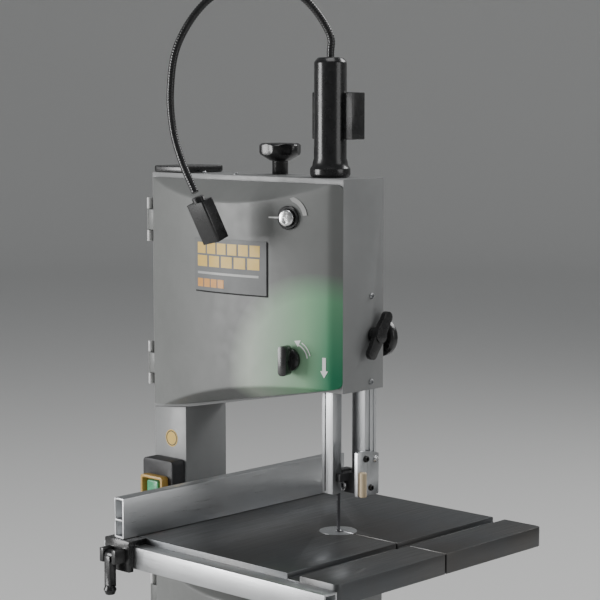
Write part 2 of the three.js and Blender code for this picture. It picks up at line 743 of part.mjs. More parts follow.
function trackingKnob() {
  const y = FRAME_BACK - ARM_BACK;
  return join(
    alongY(outline(lobed(TRACKING_KNOB_R, 5, 3)), y + 6, y + 22),
    bar("y", 8, y + 1, y + 7, 0, 0, 24),
    bar("y", TRACKING_SCREW_R, 1.8, y + 2, 0, 0, 20),
  );
}

// A closed band round two circles; each circle is [x, z, radius].
function bandShape([x1, z1, r1], [x2, z2, r2], grow) {
  const distance = Math.hypot(x2 - x1, z2 - z1);
  const heading = Math.atan2(z2 - z1, x2 - x1);
  const lean = Math.acos((r1 - r2) / distance);
  const make = (extra, path) => {
    path.absarc(x1, z1, r1 + extra, heading + lean, heading - lean + Math.PI * 2, false);
    path.absarc(x2, z2, r2 + extra, heading - lean, heading + lean, false);
    path.closePath();
    return path;
  };
  const shape = make(grow, new THREE.Shape());
  shape.holes.push(make(0, new THREE.Path()));
  return shape;
}

function sawBlade() {
  const loop = bandShape([WHEEL_X, UPPER_Z, BLADE_LOOP_R], [WHEEL_X, LOWER_Z, BLADE_LOOP_R], BLADE_T);
  return alongY(loop, -BLADE_W / 2, BLADE_W / 2, 20);
}

function driveBelt() {
  const inner = DRIVE_PULLEY_R - BELT_T + GAP;
  const small = MOTOR_PULLEY_R - BELT_T + GAP;
  const y = WHEEL_W / 2 + 3 + GAP;
  const loop = bandShape([WHEEL_X, LOWER_Z, inner], [MOTOR.x, MOTOR.z, small], BELT_T - 1);
  return alongY(loop, y, y + BELT_W + 0.4, 12);
}

function motorPulley() {
  const y = WHEEL_W / 2;
  return join(
    alongY(circle(MOTOR_PULLEY_R + 2), y + 1, y + 3, 12),
    alongY(circle(MOTOR_PULLEY_R - BELT_T), y + 2, y + 5 + BELT_W, 12),
    alongY(circle(MOTOR_PULLEY_R + 2), y + 4 + BELT_W, y + 6 + BELT_W, 12),
    bar("y", 7, y + 5, FRAME_BACK + 12, 0, 0, 24),
  );
}

// Finned motor with its terminal box and the cable gland below that.
function motorBody() {
  const y0 = FRAME_BACK + GAP;
  const y1 = y0 + MOTOR_LENGTH;
  const profile = [
    [0, y0],
    [MOTOR_R, y0],
    [MOTOR_R, y0 + 14],
    [MOTOR_R - 4, y0 + 14],
    [MOTOR_R - 4, y1 - 46],
    [MOTOR_R, y1 - 46],
    [MOTOR_R, y1 - 8],
    [MOTOR_R - 8, y1],
    [0, y1],
  ];
  const body = turned(profile, 24);
  return cut(
    join(
      body,
      box(-MOTOR_R - 26, -MOTOR_R + 14, y0 + 35, y0 + 105, -30, 30),
      bar("z", 8, -42, -29, -MOTOR_R - 12, y0 + 70, 20),
    ),
    bar("y", 12, y0 - 1, y0 + 18, 0, 0, 24),
    bar("z", 4, -43, -34, -MOTOR_R - 12, y0 + 70, 16),
  );
}

// ---- Blade guide ----
// Square post with a channel open to the rear, a shallow slot in its right face, and rack teeth
// standing inside the channel.
function guidePost() {
  const bottom = GUIDE_Z + GUIDE_BLOCK_H / 2 + GAP;
  const pitch = Math.PI * GEAR_MODULE;
  const inner = [POST_X0 + POST_WALL, POST_X1 - POST_WALL];
  const slotY = KNOB_Y - POST_SLOT_W / 2;
  const body = cut(
    box(POST_X0, POST_X1, POST_FRONT, POST_BACK, bottom, POST_TOP),
    box(...inner, POST_FRONT + POST_WALL, POST_BACK + 1, bottom - 1, POST_TOP + 1),
    box(POST_X1 - POST_SLOT_DEPTH, POST_X1 + 1, slotY, slotY + POST_SLOT_W, bottom - 1, POST_TOP + 1),
    box(POST_X1 - 1, POST_X1 + 1, slotY + 13.5, slotY + 15.5, bottom - 1, POST_TOP + 1),
  );
  const rackHalf = (pitch * RACK_TEETH) / 2;
  const rackEnd = rackHalf + pitch;
  const tip = RACK_PITCH_X - GEAR_MODULE;
  const root = RACK_PITCH_X + 1.35 * GEAR_MODULE;
  const points = [
    [root, -rackEnd],
    [inner[1] + 1, -rackEnd],
    [inner[1] + 1, rackEnd],
    [root, rackEnd],
  ];
  for (let i = RACK_TEETH - 1; i >= 0; i -= 1) {
    const z = (i + 0.5) * pitch - rackHalf;
    points.push([root, z + 1.05], [tip, z + 0.3], [tip, z - 0.3], [root, z - 1.05]);
  }
  const rack = alongY(outline(points), PINION_Y0 - 0.5, PINION_Y1 + 0.5).translate(0, 0, PINION_Z);
  return join(body, rack);
}

// Pinion on its shaft; one tooth points to +X, into a gap of the rack.
function pinionShaft() {
  const points = [];
  const root = PINION_R - 1.3 * GEAR_MODULE;
  const tip = PINION_R + 0.9 * GEAR_MODULE;
  for (let i = 0; i < PINION_TEETH; i += 1) {
    const angle = (i / PINION_TEETH) * Math.PI * 2;
    const side = (radius, half) => {
      const turn = Math.atan2(half, radius);
      return [
        [radius * Math.cos(angle - turn), radius * Math.sin(angle - turn)],
        [radius * Math.cos(angle + turn), radius * Math.sin(angle + turn)],
      ];
    };
    const [r0, r1] = side(root, 0.85);
    const [p0, p1] = side(PINION_R, 0.55);
    const [t0, t1] = side(tip, 0.2);
    points.push(r0, p0, t0, t1, p1, r1);
  }
  return join(
    alongY(outline(points), PINION_Y0, PINION_Y1),
    bar("y", 3.4, PINION_Y1 - 1, FRAME_BACK + 12, 0, 0, 20),
  );
}

function handwheel() {
  const y0 = FRAME_BACK + 9;
  const y1 = y0 + HANDWHEEL_T;
  const disc = turned(
    [
      [0, y0],
      [HANDWHEEL_R - 3, y0],
      [HANDWHEEL_R, y0 + 3],
      [HANDWHEEL_R, y1 - 3],
      [HANDWHEEL_R - 3, y1],
      [HANDWHEEL_R - 8, y1],
      [HANDWHEEL_R - 10, y1 - 4],
      [10, y1 - 4],
      [9, y1],
      [0, y1],
    ],
    24,
  );
  return cut(
    join(disc, bar("y", 9, FRAME_BACK + 1, y0 + 1, 0, 0, 24)),
    bar("y", 3.4 + GAP, FRAME_BACK - 1, FRAME_BACK + 12 + GAP, 0, 0, 20),
  );
}

// The block in the upper box that the post slides through.
function postGuide() {
  const z0 = PINION_Z - 26;
  const z1 = PINION_Z + 30;
  return cut(
    box(POST_X0 - 4, RIGHT - SHEET - GAP, POST_FRONT - 4, BACK_INNER - GAP, z0, z1),
    box(POST_X0 - GAP, POST_X1 + GAP, POST_FRONT - GAP, POST_BACK + GAP, z0 - 1, z1 + 1),
    bar("y", 4, POST_BACK - 1, BACK_INNER + 1, PINION_X, PINION_Z, 20),
    bar("x", 4.5, POST_X1, RIGHT + 1, KNOB_Y, KNOB_Z, 20),
  );
}

// Wing knob and the screw that clamps the post.
function postLockKnob() {
  const tip = POST_X1 + 2 * GAP - RIGHT;
  const wing = new THREE.Shape();
  wing.absarc(0, 26, 8, -0.35, Math.PI + 0.35, false);
  wing.absarc(0, 0, 9.5, Math.PI - 0.25, Math.PI + 0.25, false);
  wing.absarc(0, -26, 8, Math.PI - 0.35, Math.PI * 2 + 0.35, false);
  wing.absarc(0, 0, 9.5, -0.25, 0.25, false);
  return join(
    alongX(wing, 8.5, 15, 4),
    bar("x", 9.5, 1, 17, 0, 0, 24),
    bar("x", 4, tip, 2, 0, 0, 20),
  );
}

const GUIDE_BACK = BLADE_W / 2 + GUIDE_CLEARANCE;

// A fork round a thrust bearing: pin across it, and a pin out to each side roller.
function guideFork(x1, bearingR, rollers, z0, z1, bearingZ) {
  const pocket = [-THRUST_W / 2 - 0.4, THRUST_W / 2 + 3.4];
  const back = GUIDE_BACK + 2 * bearingR + 1;
  const rollerX = BLADE_T / 2 + GUIDE_CLEARANCE + ROLLER_R;
  const fork = cut(
    box(-14, x1, GUIDE_BACK, back + 5, z0, z1),
    box(...pocket, GUIDE_BACK - 1, back, z0 - 1, z1 + 1),
  );
  const pins = [bar("x", 3.9, pocket[0] - 1, pocket[1] + 1, GUIDE_BACK + bearingR, bearingZ, 20)];
  if (rollers) {
    [-1, 1].forEach((side) => {
      const y = [-ROLLER_W / 2 - 0.8, GUIDE_BACK + 1];
      pins.push(bar("y", ROLLER_PIN_R, ...y, side * rollerX, z0 + 9, 16));
    });
  }
  return join(fork, ...pins);
}

const bearing = (axis, outer, inner, half) => {
  const profile = [
    [inner, -half],
    [outer - 0.8, -half],
    [outer, -half + 0.8],
    [outer, half - 0.8],
    [outer - 0.8, half],
    [inner, half],
    [inner, -half],
  ];
  const geometry = turned(profile, 14);
  return axis === "x" ? geometry.rotateZ(-Math.PI / 2) : geometry;
};

function bladeGuard() {
  const half = GUARD_W / 2;
  const front = -BLADE_W / 2 - GUARD_DEPTH;
  const back = front + GUARD_DEPTH - 1;
  const low = GUIDE_Z - GUIDE_BLOCK_H / 2;
  const top = PINION_Z + GUARD_OVER_PINION;
  return join(
    box(-half, half, front, front + GUARD_T, low, top),
    box(half - GUARD_T, half, front, back, low, top),
    box(-half, -half + GUARD_T, front, back, low, BOX_EDGE - 7),
  );
}

function guideBlock() {
  const z0 = GUIDE_Z - GUIDE_BLOCK_H / 2;
  const z1 = GUIDE_Z + GUIDE_BLOCK_H / 2;
  const x1 = POST_X1 - BLADE_X;
  const lug = GUARD_W / 2 + GAP;
  return join(
    guideFork(x1, THRUST_R, true, z0, z1, GUIDE_Z),
    box(lug, lug + 6, -14, GUIDE_BACK + 2, z1 - 10, z1),
  );
}

// Side plate that bolts the guide block to the foot of the post.
function guidePlate() {
  const x0 = POST_X1 + GAP;
  const back = POST_BACK - 1.5;
  const low = GUIDE_Z - 14;
  const top = GUIDE_Z + 45;
  const side = outline([[-11, low], [back, low], [back, top - 5], [2, top], [-11, top]], 2);
  return alongX(side, x0, x0 + 6, 2);
}

function lowerGuideBlock() {
  const z0 = LOWER_TOP + GAP;
  const z1 = LOWER_TOP + 30;
  const right = 12;
  const fork = guideFork(right, LOWER_THRUST_R, false, z1 - 20, z1, z1 - 10);
  const back = GUIDE_BACK + 2 * LOWER_THRUST_R + 1;
  const near = BLADE_T / 2 + GUIDE_CLEARANCE;
  return join(
    fork,
    box(-14, right, back, back + 5, z0, z1 - 10),
    box(-14, -near, -4, GUIDE_BACK - 0.4, z1 - 8, z1),
    box(-14, -6, -4, GUIDE_BACK + 1, z1 - 8, z1),
    box(near, right, -4, GUIDE_BACK - 0.4, z1 - 8, z1),
    box(8, right, -4, GUIDE_BACK + 1, z1 - 8, z1),
  );
}

// ---- Table and fence ----
function table() {
  const low = TABLE_HEIGHT - TABLE_SKIRT;
  const plan = (d) =>
    outline(
      [
        [TABLE_X0 + d, TABLE_FRONT + d],
        [TABLE_X1 - d, TABLE_FRONT + d],
        [TABLE_X1 - d, -TABLE_FRONT - d],
        [TABLE_X0 + d, -TABLE_FRONT - d],
      ],
      8 - d * 0.8,
    );
  const slotX = BLADE_X + MITRE_SLOT_X;
  return cut(
    alongZ(plan(0), low, TABLE_HEIGHT, 4),
    alongZ(plan(TABLE_SKIRT_T), low - 1, TABLE_BOTTOM, 4),
    bar("z", INSERT_R, TABLE_HEIGHT - INSERT_T - GAP, TABLE_HEIGHT + 1, BLADE_X, 0, 36),
    bar("z", INSERT_R - INSERT_LEDGE, TABLE_BOTTOM - 1, TABLE_HEIGHT, BLADE_X, 0, 36),
    box(BLADE_X, TABLE_X1 + 1, -TABLE_SLOT_W / 2, TABLE_SLOT_W / 2, low - 1, TABLE_HEIGHT + 1),
    box(
      slotX - MITRE_SLOT_W / 2,
      slotX + MITRE_SLOT_W / 2,
      TABLE_FRONT - 1,
      -TABLE_FRONT + 1,
      TABLE_HEIGHT - MITRE_SLOT_DEPTH,
      TABLE_HEIGHT + 1,
    ),
  );
}

function tableInsert() {
  return cut(
    bar("z", INSERT_R - GAP, TABLE_HEIGHT - INSERT_T, TABLE_HEIGHT - 0.2, 0, 0, 36),
    box(-1.8, INSERT_T + 4, -BLADE_W / 2 - 1.5, BLADE_W / 2 + 1.5, TABLE_HEIGHT - 20, TABLE_HEIGHT + 1),
    box(0, INSERT_R + 2, -TABLE_SLOT_W / 2, TABLE_SLOT_W / 2, TABLE_HEIGHT - 20, TABLE_HEIGHT + 1),
  );
}

// A segment of a ring about the tilt axis, closed by the flange under the table.
function trunnionArc() {
  const flange = 8;
  const chord = -TABLE_T - GAP;
  const ringPart = (radius, z) => {
    const angle = Math.asin(-z / radius);
    return [Math.PI + angle, Math.PI * 2 - angle];
  };
  const shape = new THREE.Shape();
  shape.absarc(0, 0, TRUNNION_R, ...ringPart(TRUNNION_R, chord), false);
  shape.closePath();
  const hole = new THREE.Path();
  const inner = TRUNNION_R - TRUNNION_RIM;
  hole.absarc(0, 0, inner, ...ringPart(inner, chord - flange), false);
  hole.closePath();
  shape.holes.push(hole);
  return shape;
}

// Front and rear arcs joined by two bars under the table, either side of the blade opening.
function tableTrunnion() {
  const top = TABLE_BOTTOM - GAP;
  const arc = trunnionArc();
  const bars = [[-52, -42], [42, 52]].map(([a, b]) =>
    box(a, b, TRUNNION_FRONT - 1, TRUNNION_BACK + 1, top - 8, top).translate(BLADE_X, 0, 0),
  );
  return join(
    alongY(arc, TRUNNION_FRONT - TRUNNION_T, TRUNNION_FRONT, 12).translate(BLADE_X, 0, TABLE_HEIGHT),
    alongY(arc, TRUNNION_BACK, TRUNNION_BACK + TRUNNION_T, 12).translate(BLADE_X, 0, TABLE_HEIGHT),
    ...bars,
  );
}

// Saddles on the lower box that the arcs turn in, joined by side strips; the front one has a cheek
// for the clamp screw.
function tiltCradle() {
  const z0 = LOWER_TOP + GAP;
  const half = 34;
  const front = TRUNNION_FRONT - TRUNNION_T;
  const back = TRUNNION_BACK + TRUNNION_T;
  const top = TABLE_HEIGHT - TRUNNION_R + 4;
  const block = (y0, y1) => box(BLADE_X - half, BLADE_X + half, y0, y1, z0, top);
  const room = bar("y", TRUNNION_R + 2 * GAP, -60, 60, BLADE_X, TABLE_HEIGHT, 64);
  const saddles = cut(join(
    block(front, TRUNNION_FRONT),
    block(TRUNNION_BACK, back - 2),
    box(BLADE_X - half, BLADE_X - half + 8, front, back - 2, z0, z0 + 5),
    box(BLADE_X + half - 8, BLADE_X + half, front, back - 2, z0, z0 + 5),
  ), room);
  const cheek = box(BLADE_X - 18, BLADE_X + 18, front - 5, front - GAP, z0, top + 12);
  const foot = box(BLADE_X - 18, BLADE_X + 18, front - 5, front + 3, z0, z0 + 3);
  const screw = bar("y", 4.5, front - 9, front + 1, BLADE_X, top + 4, 20);
  return cut(join(saddles, cheek, foot), screw);
}

function tiltLockKnob() {
  return join(
    alongY(outline(lobed(17, 5, 3)), -24, -8),
    bar("y", 4, -9, 4, 0, 0, 20),
  );
}

function fenceRail() {
  const z1 = TABLE_HEIGHT - RAIL_DROP;
  const y1 = TABLE_FRONT - GAP;
  const tube = (d) => [TABLE_FRONT - RAIL_DEPTH + d, y1 - d, z1 - RAIL_H + d, z1 - d];
  return cut(
    box(TABLE_X0, TABLE_X1, ...tube(0)),
    box(TABLE_X0 - 1, TABLE_X1 + 1, ...tube(RAIL_WALL)),
  );
}

// Saddle over the rail, with two ears for the clamp lever's pin.
function fenceCarriage() {
  const top = TABLE_HEIGHT + GAP;
  const railFront = TABLE_FRONT - RAIL_DEPTH;
  const railTop = TABLE_HEIGHT - RAIL_DROP;
  const half = CARRIAGE_W / 2;
  const ears = [[-15, -8], [8, 15]].map(([a, b]) =>
    box(a, b, railFront - 24, railFront - 7, railTop - 20, railTop - 2),
  );
  return join(
    box(-half, half, railFront - 8, TABLE_FRONT - GAP - 0.5, railTop + GAP, top - GAP),
    box(-half, half, railFront - 8, railFront - GAP, railTop - RAIL_H - 4, top - GAP),
    ...ears,
    bar("x", 2.5, -14, 14, LEVER_PIN.y, LEVER_PIN.z, 16),
  );
}

function fenceBody() {
  const z0 = TABLE_HEIGHT + 2 * GAP;
  const z1 = z0 + FENCE_H;
  const front = TABLE_FRONT - RAIL_DEPTH - 4;
  const profile = outline([[FENCE_X0, z0], [FENCE_X1, z0], [FENCE_X1, z1], [FENCE_X0, z1]]);
  const chamber = (a, b) => {
    const [x0, x1] = [FENCE_X0 + FENCE_WALL, FENCE_X1 - FENCE_WALL];
    return new THREE.Path(outline([[x0, a], [x1, a], [x1, b], [x0, b]]).getPoints(1));
  };
  const shelf = z0 + FENCE_H * 0.45;
  profile.holes.push(chamber(z0 + FENCE_WALL, shelf - 1.2), chamber(shelf + 1.2, z1 - FENCE_WALL));
  const body = alongY(profile, front, front + FENCE_LENGTH);
  const groove = box(FENCE_X0 - 1, FENCE_X0 + 1.4, front - 1, front + FENCE_LENGTH + 1, shelf - 4, shelf + 4);
  return cut(body, groove);
}

function fenceLever() {
  return cut(
    join(
      bar("x", 7, -7.4, 7.4, 0, 0, 24),
      box(-5, 5, -9, 2, -40, 0),
      turned([[0, -7], [6, -6], [8.5, 0], [6, 6], [0, 7]], 16).rotateX(Math.PI / 2).translate(0, -4, -44),
    ),
    bar("x", 2.5 + GAP, -9, 9, 0, 0, 16),
  );
}

// ---- Switch ----
function switchBox() {
  const z0 = SWITCH_TOP - SWITCH_H;
  const half = COLUMN_WIDTH / 2 - 2;
  const face = outline([[-half, z0], [half, z0], [half, SWITCH_TOP], [-half, SWITCH_TOP]], 6);
  const well = BUTTON_HALF + GAP;
  const wells = buttonPlaces().map(([, z]) =>
    box(-well, well, SWITCH_FRONT - 1, SWITCH_FRONT + 6, z - well, z + well),
  );
  return cut(alongY(face, SWITCH_FRONT, DOOR_BACK), ...wells);
}

const SURROUND_Z = SWITCH_TOP - 21 - SURROUND_H / 2;

function buttonPlaces() {
  return [["start_button", SURROUND_Z + 14], ["stop_button", SURROUND_Z - 14]];
}

function switchSurround() {
  const w = SURROUND_W / 2;
  const h = SURROUND_H / 2;
  const square = (d, r) => outline([[-w + d, -h + d], [w - d, -h + d], [w - d, h - d], [-w + d, h - d]], r);
  const y1 = SWITCH_FRONT - GAP;
  const well = BUTTON_HALF + GAP;
  return cut(
    alongY(square(0, 5), y1 - SURROUND_DEPTH, y1),
    alongY(square(SURROUND_WALL, 3), y1 - SURROUND_DEPTH - 1, y1 - 2),
    ...buttonPlaces().map(([, z]) => box(-well, well, y1 - 4, y1 + 1, -well, well).translate(0, 0, z - SURROUND_Z)),
  );
}

function button() {
  const half = BUTTON_HALF;
  const face = outline([[-half, -half], [half, -half], [half, half], [-half, half]], 3);
  return alongY(face, SWITCH_FRONT - 10, SWITCH_FRONT + 1);
}

// ---- Work lamp ----
function lampPost() {
  const post = turned(
    [
      [0, 0],
      [LAMP_FLANGE_R - 2, 0],
      [LAMP_FLANGE_R, 3],
      [LAMP_FLANGE_R, 11],
      [LAMP_FLANGE_R - 3, 15],
      [LAMP_POST_R + 1.5, 19],
      [LAMP_POST_R, 24],
      [LAMP_POST_R, LAMP_POST_H - 6],
      [LAMP_POST_R - 5, LAMP_POST_H],
      [0, LAMP_POST_H],
    ],
    24,
  ).rotateX(Math.PI / 2);
  const socket = bar("z", GOOSENECK_R + GAP, LAMP_POST_H - 14, LAMP_POST_H + 1, 0, 0, 20);
  return cut(join(post, box(-35, 35, 3, 27, 48, 108)), socket);
}

function gooseneck() {
  const top = HEIGHT + GAP + LAMP_POST_H;
  const path = new THREE.CatmullRomCurve3(
    [
      [LAMP_X, 0, top - 12],
      [LAMP_X, 0, top + 6],
      [LAMP_X, 0, top + 26],
      [LAMP_X - 22, -26, top + 74],
      [LAMP_X - 58, -68, top + 98],
      [LAMP_X - 98, -116, top + 74],
      [LAMP_X - 126, -146, top + 18],
      [LAMP_X - 134, -153, top - 40],
      [LAMP_X - 131, -152, top - 90],
      [LAMP_X - 117, -151, top - 129],
      [LAMP_X - 96, -147, top - 170],
    ].map((point) => new THREE.Vector3(...point)),
  );
  return new THREE.ExtrudeGeometry(circle(GOOSENECK_R), { steps: 44, extrudePath: path, curveSegments: 4 });
}

function lampHead() {
  const { width, depth, length } = LAMP_HEAD;
  const w = width / 2;
  const d = depth / 2;
  const body = alongZ(outline([[-w, -d], [w, -d], [w, d], [-w, d]], 3), -length / 2, length / 2);
  const window = box(-w + 3, w - 3, -d + 3, d - 3, -length / 2 - 1, -length / 2 + 3);
  return join(cut(body, window), bar("z", 8, length / 2 - 1, length / 2 + 6, 0, 0, 20));
}

// ---- Assembly ----
mesh("upper_wheel_box", upperWheelBox(), framePaint);
mesh("column", column(), framePaint);
mesh("lower_wheel_box", lowerWheelBox(), framePaint);
mesh("base_plate", basePlate(), castIron);
mesh("column_cap", columnCap(), blackPlastic);
mesh("dust_port", dustPort(), blackPlastic);

const lowerLatch = { x: LATCH.x, z: LOWER_TOP - 70 };
mesh(
  "upper_door",
  doorPanel(UPPER_DOOR, [
    doorHole(UPPER_DOOR, LOCK.x, LOCK.z, LOCK_R + GAP),
    doorHole(UPPER_DOOR, LATCH.x, LATCH.z, LATCH_SHAFT_R),
  ]),
  doorPaint,
);
mesh("lower_door", doorPanel(LOWER_DOOR, [doorHole(LOWER_DOOR, lowerLatch.x, lowerLatch.z, LATCH_SHAFT_R)]), doorPaint);
UPPER_DOOR.hinges.forEach((top, i) => mesh(`upper_hinge_${i + 1}`, hinge(top), hingePaint));
LOWER_DOOR.hinges.forEach((top, i) => mesh(`lower_hinge_${i + 1}`, hinge(top), hingePaint));
mesh("upper_door_lock", lockBarrel(), steel, onDoor(UPPER_DOOR, LOCK.x, LOCK.z, 0));
mesh("upper_door_latch", twistKnob(), blackPlastic, onDoor(UPPER_DOOR, LATCH.x, LATCH.z, GAP));
mesh("lower_door_latch", twistKnob(), blackPlastic, onDoor(LOWER_DOOR, lowerLatch.x, lowerLatch.z, GAP));

const upper = group(WHEEL_X, 0, UPPER_Z);
mesh("upper_wheel", wheelBody(false), aluminium, upper);
mesh("upper_tyre", tyre(), rubber, upper);
mesh("upper_axle_arm", axleArm(), steel, upper);
mesh("tension_block", tensionBlock(), castIron, upper);
mesh("tension_rails", tensionRails(), steel, upper);
const blockTop = TRACKING_ARM + 12;
const springRoom = HEIGHT - SHEET - 5 - UPPER_Z - blockTop;
mesh("tension_screw", tensionScrew(blockTop), steel, upper);
mesh(
  "tension_spring",
  spring(7.4, 1.3, springRoom - 1.2, 5),
  steel,
  group(0, TENSION_Y, blockTop + 1.3 + GAP, upper),
);
mesh("tracking_knob", trackingKnob(), blackPlastic, group(0, ARM_BACK, -TRACKING_ARM, upper));
mesh("tension_knob", tensionKnob(), blackPlastic, group(WHEEL_X, TENSION_Y, HEIGHT + GAP));

const lower = group(WHEEL_X, 0, LOWER_Z);
mesh("lower_wheel", wheelBody(true), aluminium, lower);
mesh("lower_tyre", tyre(), rubber, lower);
mesh("lower_axle", lowerAxle(), steel, lower);
mesh("saw_blade", sawBlade(), steel);
mesh("drive_belt", driveBelt(), rubber);
const drive = group(MOTOR.x, 0, MOTOR.z);
mesh("motor_pulley", motorPulley(), aluminium, drive);
mesh("motor_body", motorBody(), castIron, drive);

mesh("guide_post", guidePost(), aluminium);
mesh("post_guide", postGuide(), castIron);
mesh("pinion_shaft", pinionShaft(), steel, group(PINION_X, 0, PINION_Z));
mesh("rise_fall_handwheel", handwheel(), blackPlastic, group(PINION_X, 0, PINION_Z));
const lockKnob = mesh("post_lock_knob", postLockKnob(), blackPlastic, group(RIGHT, KNOB_Y, KNOB_Z));
lockKnob.rotation.x = -0.58;

const blade = group(BLADE_X, 0, 0);
mesh("blade_guard", bladeGuard(), aluminium, blade);
mesh("guide_block", guideBlock(), castIron, blade);
mesh("guide_plate", guidePlate(), aluminium);
const thrustAt = (name, radius, z) =>
  mesh(name, bearing("x", radius, 4.2, THRUST_W / 2), steel, group(0, GUIDE_BACK + radius, z, blade));
thrustAt("upper_thrust_bearing", THRUST_R, GUIDE_Z);
thrustAt("lower_thrust_bearing", LOWER_THRUST_R, LOWER_TOP + 20);
const rollerX = BLADE_T / 2 + GUIDE_CLEARANCE + ROLLER_R;
[["left", -1], ["right", 1]].forEach(([side, sign]) => {
  const place = group(sign * rollerX, 0, GUIDE_Z - GUIDE_BLOCK_H / 2 + 9, blade);
  mesh(`guide_roller_${side}`, bearing("y", ROLLER_R, ROLLER_PIN_R + GAP, ROLLER_W / 2), steel, place);
});
mesh("lower_guide_block", lowerGuideBlock(), castIron, blade);

mesh("table", table(), castIron);
mesh("table_insert", tableInsert(), aluminium, group(BLADE_X, 0, 0));
mesh("table_trunnion", tableTrunnion(), castIron);
mesh("tilt_cradle", tiltCradle(), castIron);
const cheekFront = TRUNNION_FRONT - TRUNNION_T - 5;
mesh("tilt_lock_knob", tiltLockKnob(), blackPlastic, group(BLADE_X, cheekFront, TABLE_HEIGHT - TRUNNION_R + 8));
mesh("fence_rail", fenceRail(), aluminium);
mesh("fence_carriage", fenceCarriage(), blackPlastic, group(FENCE_X, 0, 0));
mesh("fence_body", fenceBody(), aluminium);
mesh("fence_lever", fenceLever(), blackPlastic, group(FENCE_X, LEVER_PIN.y, LEVER_PIN.z));

const panel = group(SWITCH_X, 0, 0);
mesh("switch_box", switchBox(), blackPlastic, panel);
mesh("switch_surround", switchSurround(), yellowPlastic, group(0, 0, SURROUND_Z, panel));
const buttonPaint = { start_button: greenPlastic, stop_button: redPlastic };
buttonPlaces().forEach(([name, z]) => mesh(name, button(), buttonPaint[name], group(0, 0, z, panel)));

mesh("lamp_post", lampPost(), blackPlastic, group(LAMP_X, 0, HEIGHT + GAP));
mesh("lamp_gooseneck", gooseneck(), blackPlastic);
const headPlace = group(LAMP_X - 81, -140, HEIGHT + LAMP_POST_H - 205);
const head = mesh("lamp_head", lampHead(), blackPlastic, headPlace);
head.quaternion.setFromUnitVectors(new THREE.Vector3(0, 0, -1), new THREE.Vector3(0.2, 0.34, -0.92).normalize());

export default model;
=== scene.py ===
# Bench-top band saw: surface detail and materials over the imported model, in metres, +Z up.
# The doors face -Y, the column is at -X, and the blade's plane is y = 0.
import json
import math

import bmesh
import bpy
from mathutils import Matrix, Vector

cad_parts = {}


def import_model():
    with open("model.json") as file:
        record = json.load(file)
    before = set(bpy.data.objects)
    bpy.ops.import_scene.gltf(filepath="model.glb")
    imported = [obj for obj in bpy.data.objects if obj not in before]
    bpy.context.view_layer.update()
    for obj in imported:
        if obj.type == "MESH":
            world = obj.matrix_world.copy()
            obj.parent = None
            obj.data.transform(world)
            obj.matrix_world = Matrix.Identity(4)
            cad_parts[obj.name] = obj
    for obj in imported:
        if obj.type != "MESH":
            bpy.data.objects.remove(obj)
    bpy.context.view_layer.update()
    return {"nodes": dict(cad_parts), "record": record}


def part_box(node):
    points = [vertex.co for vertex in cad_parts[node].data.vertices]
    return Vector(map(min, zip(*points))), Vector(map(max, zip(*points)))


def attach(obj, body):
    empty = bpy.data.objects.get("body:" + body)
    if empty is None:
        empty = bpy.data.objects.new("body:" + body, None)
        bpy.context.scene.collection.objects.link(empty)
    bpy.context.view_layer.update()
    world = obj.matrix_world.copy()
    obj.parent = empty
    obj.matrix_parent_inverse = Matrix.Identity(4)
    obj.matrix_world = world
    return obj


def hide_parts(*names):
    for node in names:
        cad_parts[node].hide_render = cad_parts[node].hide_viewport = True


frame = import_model()

MM = 0.001


def low(node):
    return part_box(node)[0]


def high(node):
    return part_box(node)[1]


def middle(node):
    return (low(node) + high(node)) / 2


# ---- Places read from the frame ----
TOP = high("upper_wheel_box").z
LEFT = low("upper_wheel_box").x
RIGHT = high("upper_wheel_box").x
FRAME_FRONT = low("upper_wheel_box").y
FRAME_BACK = high("upper_wheel_box").y
BLADE_X = high("saw_blade").x
TABLE_TOP = high("table").z
DOOR_BACK = FRAME_FRONT - 0.3 * MM
DOOR_EDGE = 12 * MM
DOOR_BULGE = 30 * MM
DOOR_SHEET = 2 * MM
NODE_BODY = {}
for body, nodes in frame["record"]["behaviour"]["bodies"].items():
    for node in nodes:
        NODE_BODY[node] = body


